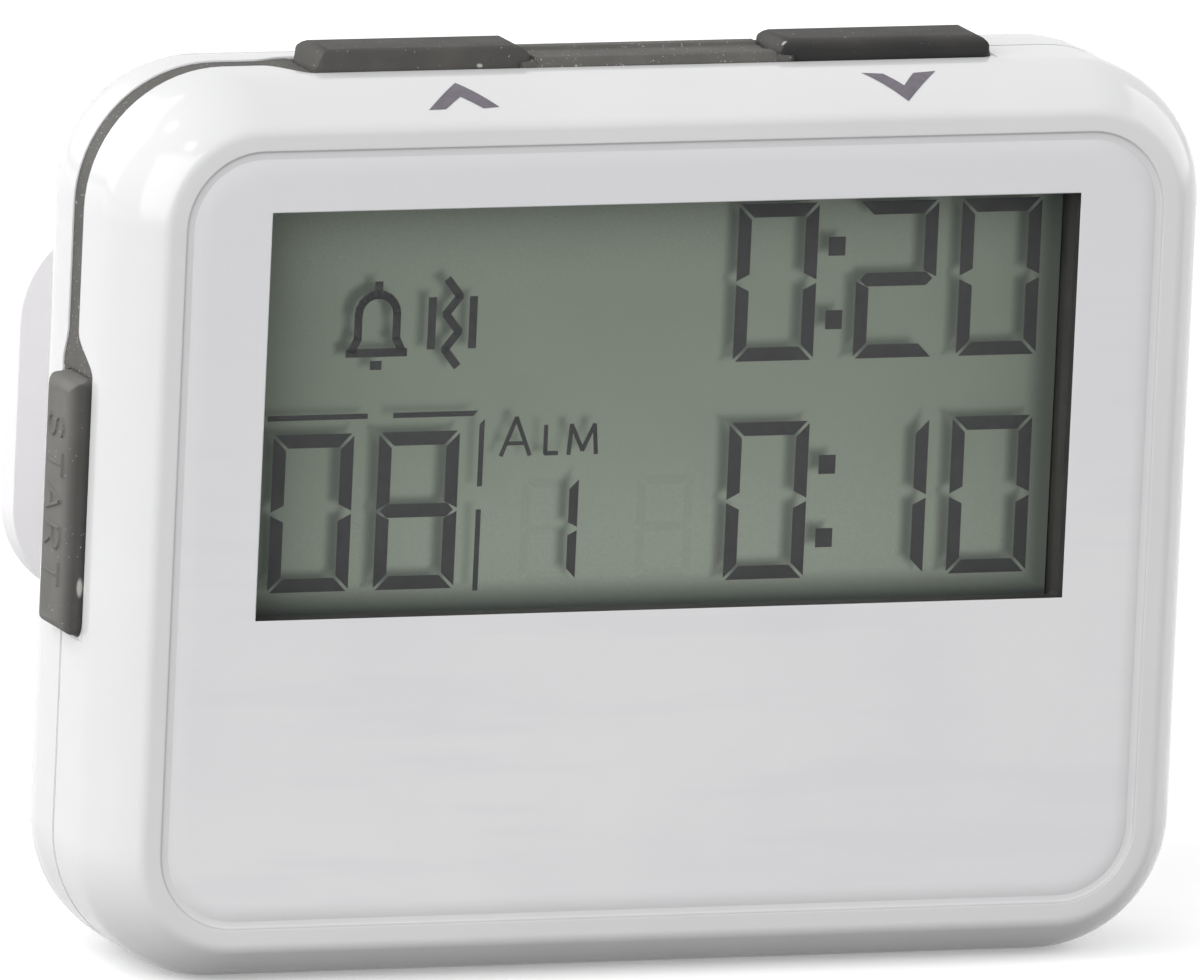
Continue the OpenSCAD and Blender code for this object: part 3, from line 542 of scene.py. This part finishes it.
LABEL_STROKE = 0.22
LABEL_CROSSBAR_STROKE = 0.198
LABEL_CROSSBAR = ((-7.4, -2.2), (-6.42, -2.2))
LABEL_LETTERS = (
    ((-7.68, -2.83), (-6.92, -0.92), (-6.16, -2.83)),
    ((-5.36, -1.32), (-5.36, -2.74), (-4.68, -2.74)),
    ((-4.14, -2.85), (-4.02, -1.36), (-3.42, -2.62), (-2.82, -1.36), (-2.7, -2.85)),
)

SIGN_STROKE = 0.42
BELL_X = -14.4
BELL_LOW = 2.5
BELL_R = 1.0
BELL_FLARE = 0.35
BELL_SHOULDER = 0.7
BELL_DOME = 1.9
BELL_DOME_STEPS = 10
BELL_RIM = 0.6
# Width, height and place above the rim of the bell's clapper and knob
BELL_ENDS = ((0.6, 0.45, -0.85), (0.42, 0.5, 3.05))
ZIGZAG_X = -10.5
ZIGZAG_REACH = 0.35
ZIGZAG_ROWS = (6.1, 5.22, 4.34, 3.46, 2.58, 1.7)
SIDE_BAR = 1.07
SIDE_BAR_ROWS = (5.2, 2.6)

FIGURE_DEPTH = 0.55
UNLIT_STEP = 0.01
FILM_LIFT = 0.03
SHADE_STEP = 0.16
SHADE_SOFT = 0.3
SHADE_FULL_WIDTH = 0.42
SHADE_DEPTH = 0.72
WALL_SHADE_X = (20.0, 21.4)
WALL_SHADE_Z = (-9.25, -10.7)
WALL_SHADE_DEPTH = 1.35


def segment_outlines(x, z, w, h, t):
    """The seven segments of a digit whose lower left corner is at (x, z), as outlines by letter."""
    g = SEGMENT_GAP / 2
    d = SEGMENT_GAP * SEGMENT_SLANT
    m = h / 2
    corners = {
        "a": [(d, h), (t + d, h - t), (w - t - d, h - t), (w - d, h)],
        "d": [(d, 0), (w - d, 0), (w - t - d, t), (t + d, t)],
        "f": [(0, h - d), (0, m + g), (t, m + g + t / 2), (t, h - t - d)],
        "e": [(0, d), (t, t + d), (t, m - g - t / 2), (0, m - g)],
        "b": [(w, h - d), (w - t, h - t - d), (w - t, m + g + t / 2), (w, m + g)],
        "c": [(w, d), (w, m - g), (w - t, m - g - t / 2), (w - t, t + d)],
        "g": [(d + g, m), (t / 2 + d + g, m - t / 2), (w - t / 2 - d - g, m - t / 2),
              (w - d - g, m), (w - t / 2 - d - g, m + t / 2), (t / 2 + d + g, m + t / 2)],
    }
    return {k: [Vector((x + px, z + pz)) for px, pz in points] for k, points in corners.items()}


def digit(text, x, z, size):
    """(lit outlines, unlit outlines) of one digit, whose size is its width, height and stroke."""
    every = segment_outlines(x, z, *size)
    lit = SEGMENTS_OF.get(text, "")
    return [every[k] for k in every if k in lit], [every[k] for k in every if k not in lit]


def colon(row):
    left = COLON_X - COLON_W / 2
    return [rectangle(left, row + step - COLON_H / 2, COLON_W, COLON_H) for step in COLON_STEPS]


def round_frame():
    """The broken line above and beside the round counter."""
    top, over = FRAME_TOP, FRAME_TOP + FRAME_LINE
    side, beside = FRAME_SIDE, FRAME_SIDE + FRAME_LINE
    top_end = [(-13.38, top), (-9.2, top), (-8.95, over), (-13.38, over)]
    side_end = [(side, -4.3), (beside, -4.3), (beside, -0.95), (side, -1.2)]
    return [
        rectangle(-19.9, top, 5.2, FRAME_LINE),
        [Vector(point) for point in top_end],
        [Vector(point) for point in side_end],
        rectangle(side, -9.5, FRAME_LINE, 4.05),
    ]


def alarm_label():
    """The letters of the alarm mark, with a taller first letter."""
    first, second, third = [stroke(points, LABEL_STROKE) for points in LABEL_LETTERS]
    return first + [bar(*LABEL_CROSSBAR, LABEL_CROSSBAR_STROKE)] + second + third


def sound_sign():
    """A bell."""
    left, right = BELL_X - BELL_R, BELL_X + BELL_R
    shoulder = BELL_LOW + BELL_SHOULDER
    dome = [(left - BELL_FLARE, BELL_LOW), (left, shoulder)]
    dome += arc(BELL_X, BELL_LOW + BELL_DOME, BELL_R, 180, 0, BELL_DOME_STEPS)
    dome += [(right, shoulder), (right + BELL_FLARE, BELL_LOW)]
    parts = stroke(dome, SIGN_STROKE)
    parts.append(bar((left - BELL_RIM, BELL_LOW), (right + BELL_RIM, BELL_LOW), SIGN_STROKE))
    for width, height, above in BELL_ENDS:
        parts.append(rectangle(BELL_X - width / 2, BELL_LOW + above, width, height))
    return parts


def vibration_sign():
    """A zigzag between two upright bars."""
    turns = [(ZIGZAG_X + (ZIGZAG_REACH if k % 2 else -ZIGZAG_REACH), z) for k, z in enumerate(ZIGZAG_ROWS)]
    parts = stroke(turns, SIGN_STROKE)
    top, low = SIDE_BAR_ROWS
    for x in (ZIGZAG_X - SIDE_BAR, ZIGZAG_X + SIDE_BAR):
        parts.append(bar((x, top), (x, low), SIGN_STROKE))
    return parts


def display_outlines():
    """(lit, unlit) outlines of the whole display; only the small digits show unlit segments."""
    lit, unlit = [], []
    shown = [(c, x, UPPER_ROW, DIGIT) for c, x in zip("020", DIGIT_COLUMNS)]
    shown += [(c, x, LOWER_ROW, DIGIT) for c, x in zip("010", DIGIT_COLUMNS)]
    shown += [(c, x, LOWER_ROW, DIGIT) for c, x in zip("08", ROUND_COLUMNS)]
    shown += [(c, x, SMALL_ROW, SMALL_DIGIT) for c, x in zip("1 ", SMALL_COLUMNS)]
    for text, x, z, size in shown:
        on, off = digit(text, x, z, size)
        lit += on
        unlit += off if size == SMALL_DIGIT else []
    for row in (UPPER_ROW, LOWER_ROW):
        lit += colon(row)
    lit += round_frame() + alarm_label() + sound_sign() + vibration_sign()
    return [anticlockwise(outline) for outline in lit], [anticlockwise(outline) for outline in unlit]


def leave_light(piece):
    """Light on its way to the film passes this layer, since the film's own material holds the shade on it."""
    piece.visible_shadow = False
    piece.visible_diffuse = False


def eased(share):
    share = np.clip(share, 0, 1)
    return share ** 2 * (3 - 2 * share)


def figure_shade(x, z, outlines):
    """How deep each point of a grid lies in the soft shade of convex outlines, from 0 to 1."""
    total = np.zeros_like(x)
    for outline in outlines:
        ends = outline[1:] + outline[:1]
        outside = np.full_like(x, -np.inf)
        for a, b in zip(outline, ends):
            along = (b - a).normalized()
            outside = np.maximum(outside, (x - a.x) * along.y - (z - a.y) * along.x)
        area = sum(a.cross(b) for a, b in zip(outline, ends)) / 2
        length = max((a - b).length for a in outline for b in outline)
        inside = (SHADE_SOFT - outside) / (2 * SHADE_SOFT)
        total += min(1, area / length / SHADE_FULL_WIDTH) * eased(inside)
    return np.clip(total, 0, 1)


def wall_shade(x, z):
    """The shade of the window's walls on the film, at its right and lower edges."""
    right = eased((x - WALL_SHADE_X[0]) / (WALL_SHADE_X[1] - WALL_SHADE_X[0]))
    low = np.clip((z - WALL_SHADE_Z[0]) / (WALL_SHADE_Z[1] - WALL_SHADE_Z[0]), 0, 1)
    return np.maximum(right, WALL_SHADE_DEPTH * low)


def film_piece(name, outlines, to_frame, low, high, material, body):
    """The film's face as a fine grid that holds how deep the walls' and figures' shade falls on it."""
    spans = [np.linspace(a, b, round((b - a) / SHADE_STEP)) for a, b in zip(low, high)]
    x, z = np.meshgrid(*spans)
    rows, columns = x.shape
    number = np.arange(rows * columns).reshape(rows, columns)
    around = [number[:-1, :-1], number[:-1, 1:], number[1:, 1:], number[1:, :-1]]
    faces = np.stack(around, axis=-1).reshape(-1, 4).tolist()
    corners = [to_frame(Vector(spot)) for spot in zip(x.ravel(), z.ravel())]
    piece = mesh_piece(name, corners, faces, material)
    shade = np.maximum(figure_shade(x, z, outlines), wall_shade(x, z))
    piece.data.attributes.new("shade", "FLOAT", "POINT").data.foreach_set("value", shade.ravel())
    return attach(piece, body)


def build_display(film_material):
    """The figures inside the glass, the unlit ones that just show, and the soft shades on the film behind."""
    lens_low, lens_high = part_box("window_lens")
    figure_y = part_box("lcd_glass")[0].y + FIGURE_DEPTH * MM
    film_low, film_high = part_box("lcd_reflector")
    middle = (lens_low + lens_high) / 2

    def at_depth(y):
        def to_frame(point):
            return (middle.x + point.x * MM, y, middle.z + point.y * MM)
        return to_frame

    lit, unlit = display_outlines()
    ink = ink_finish("segment_on", srgb(70, 70, 71), srgb(64, 64, 66), 0.5)
    ghost = ink_finish("segment_off", srgb(96, 106, 98), srgb(90, 100, 93), 0.5, alpha=0.03)
    figures = flat_piece("display_figures", lit, at_depth(figure_y), ink, "case")
    behind = at_depth(figure_y + UNLIT_STEP * MM)
    unlit_figures = flat_piece("display_unlit_figures", unlit, behind, ghost, "case")
    edges = [((corner.x - middle.x) / MM, (corner.z - middle.z) / MM) for corner in (film_low, film_high)]
    on_film = at_depth(film_low.y - FILM_LIFT * MM)
    film = film_piece("display_film_face", lit, on_film, *edges, film_material, "case")
    for piece in (figures, unlit_figures, nodes["window_lens"], nodes["lcd_glass"]):
        leave_light(piece)


# Marks on the case

# Corners of the arrows' arms: X in millimetres and degrees round the curved slope from the wall
ARROW_ARMS = (
    ((-12.97, 39.6), (-12.08, 39.4), (-11.11, 30.8), (-11.02, 18.7)),
    ((-10.13, 39.4), (-9.28, 38.7), (-11.02, 18.7), (-11.11, 30.8)),
    ((10.21, 18.4), (12.02, 41.5), (12.09, 30.3), (11.29, 19.8)),
    ((12.02, 41.5), (14.11, 18.3), (12.89, 19.7), (12.09, 30.3)),
)
ARROW_SQUARES = 8
PRINT_LIFT = 0.012 * MM
SLOPE_D = 4.25 * MM
SLOPE_R = 5.516 * MM


def squares(corners, count):
    """The outlines of a count by count grid over a four-cornered patch."""
    a, b, c, d = [Vector(corner) for corner in corners]

    def place(i, j):
        low, high = a.lerp(b, i / count), d.lerp(c, i / count)
        return low.lerp(high, j / count)
    return [[place(i, j), place(i + 1, j), place(i + 1, j + 1), place(i, j + 1)]
            for i in range(count) for j in range(count)]


def build_arrows():
    """Printed arrows on the curved slope under the two top keys."""
    low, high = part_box("front_shell")
    centre = Vector((0, low.y + SLOPE_D, high.z - SLOPE_R))
    skin = SLOPE_R + PRINT_LIFT

    def to_frame(point):
        turn = math.radians(point.y)
        return centre + Vector((point.x * MM, -skin * math.sin(turn), skin * math.cos(turn)))

    ink = ink_finish("arrow_print", srgb(124, 119, 127), srgb(115, 110, 119), 0.55)
    outlines = [square for arm in ARROW_ARMS for square in squares(arm, ARROW_SQUARES)]
    marks = flat_piece("key_arrows", outlines, to_frame, ink, "case")


# Section of the seam round the panel: millimetres inwards from the bezel's edge, and down from its face
SEAM_SECTION = ((-0.02, 0.01), (0.03, 0.045), (0.09, 0.075), (0.18, 0.09), (0.28, 0.095), (0.4, 0.1))
SEAM_CORNER_STEPS = 10


def build_seam(material):
    """The soft joint line between the panel and the bezel."""
    low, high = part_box("front_panel")
    face_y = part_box("front_shell")[0].y
    middle = (low + high) / 2
    corners, faces = [], []
    for inwards, down in SEAM_SECTION:
        radius = PANEL_R + PANEL_GAP - inwards * MM
        half_x = (high.x - low.x) / 2 + PANEL_GAP - inwards * MM - radius
        half_z = (high.z - low.z) / 2 + PANEL_GAP - inwards * MM - radius
        for quarter, (side_x, side_z) in enumerate(((1, 1), (-1, 1), (-1, -1), (1, -1))):
            start = 90 * quarter
            turn = arc(side_x * half_x, side_z * half_z, radius, start, start + 90, SEAM_CORNER_STEPS)
            corners += [(middle.x + x, face_y + down * MM, middle.z + z) for x, z in turn]
    count = len(corners) // len(SEAM_SECTION)
    for ring in range(len(SEAM_SECTION) - 1):
        faces += band(ring * count, (ring + 1) * count, count)
    seam = mesh_piece("panel_seam", corners, faces, material)
    seam.data.shade_smooth()
    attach(seam, "case")


# Ends of the keys: the side of the case, the end's place along the key in millimetres,
# which way its neighbour lies, and how high the filling between the two stands above the case
RUBBER_WEBS = (
    ("top", -17.45, -1, -0.1),
    ("top", -6.15, 1, 0.3),
    ("top", 6.65, -1, 0.3),
    ("left", 29.6, 1, -0.1),
)
ROOM_CORNERS = (
    ("top", 17.95, 1, -0.02),
    ("left", 16.8, -1, -0.02),
)
KEY_MIDDLE = -0.85
KEY_HALF = 2.05
KEY_CORNER = 0.8
WEB_CLEAR = 0.03
WEB_REACH = 0.13
WEB_DEPTH = 0.6
WEB_CORNER_STEPS = 6


def web_outline(end, way):
    """The gap between a key's rounded end and its neighbour, seen from above the key."""
    radius = KEY_CORNER + WEB_CLEAR
    inset = KEY_HALF - KEY_CORNER
    front = arc(0, KEY_MIDDLE - inset, radius, -90, 0, WEB_CORNER_STEPS)
    rear = arc(0, KEY_MIDDLE + inset, radius, 0, 90, WEB_CORNER_STEPS)
    near = [(end + way * (x - KEY_CORNER), y) for x, y in front + rear]
    far = [(end + way * WEB_REACH, y) for y in (near[-1][1], near[0][1])]
    return anticlockwise([Vector(point) for point in near + far])


def build_webs(name, ends, material):
    """Fills the gaps at the ends of the keys with what surrounds them there."""
    low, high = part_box("front_shell")
    corners, faces = [], []

    def on_top(point, height):
        return (point.x * MM, point.y * MM, high.z + height * MM)

    def on_left(point, height):
        return (low.x - height * MM, point.y * MM, point.x * MM)

    for side, end, way, height in ends:
        to_frame = on_top if side == "top" else on_left
        outline = web_outline(end, way)
        count, first = len(outline), len(corners)
        for level in (height - WEB_DEPTH, height):
            corners += [to_frame(point, level) for point in outline]
        faces.append([first + k for k in reversed(range(count))])
        faces.append([first + count + k for k in range(count)])
        faces += band(first, first + count, count)
    webs = mesh_piece(name, corners, faces, material)
    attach(webs, "case")


# Spring of the clip

SPRING_WIRE_R = 0.28 * MM
SPRING_TURNS = 4.5
SPRING_STEPS = 20
SPRING_SIDES = 10


def spring_path(low, high, pivot):
    """One leg on the case, turns round the pin and one leg under the clip, in the box of the CAD spring."""
    foot, head = low.z + SPRING_WIRE_R, high.z - SPRING_WIRE_R
    radius = high.x - SPRING_WIRE_R - pivot.x
    path = [Vector((low.x, low.y + SPRING_WIRE_R, foot))]
    steps = round(SPRING_TURNS * SPRING_STEPS)
    for k in range(steps + 1):
        angle = math.tau * k / SPRING_STEPS - math.pi / 2
        path.append(Vector((pivot.x + radius * math.cos(angle), pivot.y + radius * math.sin(angle),
                            foot + (head - foot) * k / steps)))
    return path + [Vector((low.x, high.y - SPRING_WIRE_R, head))]


def wire(name, path, radius, sides, material):
    """A round wire along a path that keeps off the vertical."""
    corners, faces = [], []
    last = len(path) - 1
    for k, point in enumerate(path):
        way = (path[min(k + 1, last)] - path[max(k - 1, 0)]).normalized()
        across = way.cross(Vector((0, 0, 1))).normalized()
        rise = across.cross(way)
        for side in range(sides):
            angle = math.tau * side / sides
            corners.append(point + (across * math.cos(angle) + rise * math.sin(angle)) * radius)
    for k in range(last):
        here, there = k * sides, (k + 1) * sides
        for side in range(sides):
            after = (side + 1) % sides
            faces.append([here + side, there + side, there + after, here + after])
    faces.append(list(range(sides)))
    faces.append([last * sides + side for side in reversed(range(sides))])
    piece = mesh_piece(name, corners, faces, material)
    piece.data.polygons.foreach_set("use_smooth", [len(face) == 4 for face in faces])
    return piece


def build_spring(material):
    """A wound wire in place of the CAD spring: its lower leg lies on the case and its upper leg under the
    clip.
    """
    low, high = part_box("clip_spring")
    joints = frame["record"]["behaviour"]["joints"]
    pivot = Vector(next(joint["pos_m"] for joint in joints if joint["name"] == "clip_open"))
    path = spring_path(low, high, pivot)
    spring = wire("wound_clip_spring", path, SPRING_WIRE_R, SPRING_SIDES, material)
    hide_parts("clip_spring")
    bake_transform(spring)


# Lettering of the START key, read downwards: strokes in millimetres in a 1.2 x 2.0 box

KEY_WORD = "START"
LETTER_H = 2.0
LETTER_W = 1.2
LETTER_STEP = 1.82
LETTER_STROKE = 0.24
LETTER_RISE = 0.1
LETTER_SINK = 0.04
LETTER_BEVEL = 0.05
LETTERS_MIDDLE = (-1.0, 23.5)
LETTER_STROKES = {
    "S": [arc(0.6, 1.5, 0.5, 25, 270, 9) + arc(0.6, 0.5, 0.5, 90, -155, 9)[1:]],
    "T": [[(0, 2), (1.2, 2)], [(0.6, 2), (0.6, 0)]],
    "A": [[(0, 0), (0.6, 2), (1.2, 0)], [(0.22, 0.65), (0.98, 0.65)]],
    "R": [[(0.1, 0), (0.1, 2), (0.65, 2)] + arc(0.65, 1.5, 0.5, 90, -90, 7)[1:] + [(0.1, 1)],
          [(0.6, 1), (1.15, 0)]],
}


def build_lettering(material):
    """The word on the START key, raised a little from its face."""
    face_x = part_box("start_key")[0].x
    middle_y, middle_z = LETTERS_MIDDLE
    corners, faces = [], []
    for i, letter in enumerate(KEY_WORD):
        left = (i - len(KEY_WORD) // 2) * LETTER_STEP - LETTER_W / 2
        for outline in [part for points in LETTER_STROKES[letter] for part in stroke(points, LETTER_STROKE)]:
            count, first = len(outline), len(corners)
            for rise, ring in ((-LETTER_SINK, outline), (LETTER_RISE, grown(outline, -LETTER_BEVEL))):
                corners += [(face_x - rise * MM, (middle_y - p.y + LETTER_H / 2) * MM,
                             (middle_z - left - p.x) * MM) for p in ring]
            faces.append([first + count + k for k in range(count)])
            faces += band(first, first + count, count)
    lettering = mesh_piece("start_lettering", corners, faces, material)
    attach(lettering, "start_button")


# Dressing of the frame's pieces

# Light spots on the keys: place and radius in metres, and how they are drawn out along X, Y and Z
START_SCUFF = ((-28.64 * MM, -2.82 * MM, 19.35 * MM), 0.6 * MM, (0.3, 0.5, 1.0))
DOWN_SPECK = ((7.06 * MM, -2.32 * MM, 45.51 * MM), 0.2 * MM, (1, 1, 1))
UP_SPECK = ((-9.0 * MM, -2.82 * MM, 44.84 * MM), 0.14 * MM, (1.4, 1, 1))


def dress():
    """Gives every piece of the frame its finish, and returns those that added pieces share."""
    white = moulded("case_white", srgb(237, 237, 238), srgb(234, 234, 235), 0.14, CASE_EDGE)
    # Painted light: the clip's white is lighter than the case's, to make up for the shade it lies in
    clip_white = moulded("clip_white", srgb(252, 250, 252), srgb(250, 248, 250), 0.34, CASE_EDGE)
    up_rubber = rubber_finish("up_rubber", srgb(87, 86, 83), srgb(77, 76, 74), KEY_DUST, [UP_SPECK])
    # The last number of the down and START rubbers is how deep the painted shade on their front flank goes
    down_rubber = rubber_finish("down_rubber", srgb(78, 77, 75), srgb(69, 68, 67), KEY_DUST,
                                [DOWN_SPECK], 0.75)
    start_rubber = rubber_finish("start_rubber", srgb(121, 120, 117), srgb(113, 112, 109), KEY_DUST,
                                 [START_SCUFF], 0.7)
    dusty = rubber_finish("strip_rubber", srgb(104, 103, 100), srgb(94, 93, 90), STRIP_DUST)
    steel = metal_finish("plated_steel", srgb(206, 207, 208), srgb(186, 188, 190), 0.37)
    dark = dark_finish("dark_moulding", srgb(64, 62, 61), srgb(57, 55, 55), 0.5)
    black = dark_finish("black_moulding", srgb(38, 38, 40), srgb(30, 30, 32), 0.42)
    pale = moulded("pale_moulding", srgb(222, 220, 214), srgb(212, 210, 204), 0.4)
    film = reflector_finish()
    panel = panel_finish()
    finishes = {
        white: ["front_shell", "rear_cover", "battery_door"],
        clip_white: ["clip_lever"],
        panel: ["front_panel"],
        up_rubber: ["up_key"],
        down_rubber: ["down_key"],
        start_rubber: ["start_key"],
        dusty: ["key_strip"],
        clear_finish("clear_window", srgb(70, 74, 72), 0.02, 0.08): ["window_lens"],
        clear_finish("display_glass", srgb(74, 84, 76), 0.02, 0.15): ["lcd_glass"],
        film: ["lcd_reflector"],
        dark: ["lcd_frame"],
        black: ["controller_chip", "buzzer", "switch_bodies"],
        pale: ["start_plunger", "up_plunger", "down_plunger"],
        connector_finish(): ["zebra_strips"],
        board_finish(): ["circuit_board"],
        metal_finish("crystal_can", srgb(196, 197, 200), srgb(178, 180, 184), 0.37, (1, 1, 8)): ["crystal"],
        moulded("ceramic", srgb(186, 160, 128), srgb(172, 146, 114), 0.45): ["chip_capacitors"],
        moulded("cradle_silicone", srgb(176, 190, 204), srgb(164, 180, 196), 0.5): ["motor_cradle"],
        metal_finish("motor_steel", srgb(188, 190, 192), srgb(170, 172, 175), 0.37, (6, 1, 1)): ["motor_can"],
        metal_finish("heavy_alloy", srgb(134, 134, 136), srgb(116, 116, 119), 0.42): ["motor_weight"],
        cell_finish(): ["cell"],
        steel: ["motor_shaft", "positive_contact", "negative_contact", "negative_spring", "clip_pin",
                "clip_spring", "case_screws", "board_screws"],
    }
    group = smooth_shading_group()
    for finish, names in finishes.items():
        for name in names:
            piece = nodes[name]
            piece.data.materials.clear()
            piece.data.materials.append(finish)
            smooth_shading(piece, group)
    return white, steel, start_rubber, dusty, film, panel


# Stage

FLOOR_REACH = 6.0
FLOOR_BOUNCE = srgb(130, 130, 130)
FLOOR_GLOW = 0.3
PAPER_CLOUD = 80 * MM
PAPER_LIGHT = (0.98, 0.98, 0.98, 1.0)
PAPER_DARK = (0.97, 0.97, 0.97, 1.0)
WORLD_LEVEL = 0.375
LAMP_DISTANCE = 1.2
# Name, direction from the object, size in metres and level of each lamp
LAMPS = (
    ("left_lamp", (-1.0, -0.6, 0.25), 1.6, 1.45),
    ("right_lamp", (1.0, 0.0, 0.15), 1.6, 0.77),
    ("right_front_lamp", (0.8, -0.7, 0.2), 1.6, 0.14),
    ("rear_lamp", (-0.5, 1.0, 0.45), 0.8, 0.3),
    ("rear_tube", (-0.505, 0.349, 0.789), 0.085, 0.036),
    ("front_tube", (-0.548, -0.232, 0.803), 0.095, 0.05),
)


def build_floor():
    """White paper: it throws little light back, is seen as white and keeps the object's shadow."""
    paper = Finish("white_paper", 0.9, specular=0.1)
    seen = seen_directly(paper.tree)
    white = paper.mix(paper.noise(PAPER_CLOUD, 3), PAPER_LIGHT, PAPER_DARK)
    paper.colour(paper.mix(seen, FLOOR_BOUNCE, white))
    paper.shader.inputs["Emission Color"].default_value = WHITE
    paper.link(paper.share(seen, FLOOR_GLOW), paper.shader.inputs["Emission Strength"])
    r = FLOOR_REACH
    corners = [(-r, -r, 0), (r, -r, 0), (r, r, 0), (-r, r, 0)]
    floor = mesh_piece("floor", corners, [(0, 1, 2, 3)], paper.material)


def add_lamp(name, direction, size, level):
    """A square soft lamp that looks at the object; level 1 lights a white face turned to it fully."""
    light = bpy.data.lights.new(name, "AREA")
    light.size = size
    light.energy = level * (math.pi * LAMP_DISTANCE) ** 2
    lamp = bpy.data.objects.new(name, light)
    bpy.context.scene.collection.objects.link(lamp)
    way = Vector(direction).normalized()
    lamp.location = (cad_low + cad_high) / 2 + way * LAMP_DISTANCE
    lamp.rotation_mode = "QUATERNION"
    lamp.rotation_quaternion = way.to_track_quat("Z", "Y")


def build_light():
    """The lamps, and a sky that lights the object softly and is seen and mirrored as white."""
    world = bpy.data.worlds.new("studio")
    world.use_nodes = True
    tree = world.node_tree
    sky = tree.nodes["Background"]
    sky.inputs["Color"].default_value = WHITE
    strength = tree.nodes.new("ShaderNodeMath")
    strength.operation = "MAXIMUM"
    strength.inputs[1].default_value = WORLD_LEVEL
    tree.links.new(seen_directly(tree), strength.inputs[0])
    tree.links.new(strength.outputs["Value"], sky.inputs["Strength"])
    bpy.context.scene.world = world
    for lamp in LAMPS:
        add_lamp(*lamp)


def build_camera():
    """The photograph's camera, placed so that the middle of the case's face falls on its pixel there."""
    scene = bpy.context.scene
    data = bpy.data.cameras.new("photo_view")
    camera = bpy.data.objects.new("photo_view", data)
    scene.collection.objects.link(camera)
    scene.camera = camera
    data.sensor_width = SENSOR_WIDTH
    data.lens = SENSOR_WIDTH * VIEW_DISTANCE * VIEW_SCALE / IMAGE_SIZE[0]
    data.clip_start = VIEW_NEAREST
    data.clip_end = VIEW_FARTHEST
    azimuth, elevation = math.radians(VIEW_AZIMUTH), math.radians(VIEW_ELEVATION)
    back = Vector((math.sin(azimuth) * math.cos(elevation), -math.cos(azimuth) * math.cos(elevation),
                   math.sin(elevation)))
    turn = back.to_track_quat("Z", "Y").to_matrix() @ Matrix.Rotation(math.radians(VIEW_ROLL), 3, "Z")
    right, up = turn.col[0], turn.col[1]
    low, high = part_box("front_shell")
    focus = Vector(((low.x + high.x) / 2, low.y, (low.z + high.z) / 2))
    aim = focus - right * (FOCUS_PIXEL[0] - IMAGE_SIZE[0] / 2) / VIEW_SCALE
    aim += up * (FOCUS_PIXEL[1] - IMAGE_SIZE[1] / 2) / VIEW_SCALE
    camera.rotation_mode = "QUATERNION"
    camera.rotation_quaternion = turn.to_quaternion()
    camera.location = aim + back * VIEW_DISTANCE


case_white, plated_steel, start_rubber, strip_rubber, film_material, panel_material = dress()
build_display(film_material)
build_arrows()
build_seam(panel_material)
build_webs("key_webs", RUBBER_WEBS, strip_rubber)
build_webs("room_corners", ROOM_CORNERS, case_white)
build_spring(plated_steel)
build_lettering(start_rubber)
build_floor()
build_light()
build_camera()
bpy.context.scene.view_settings.view_transform = "Standard"
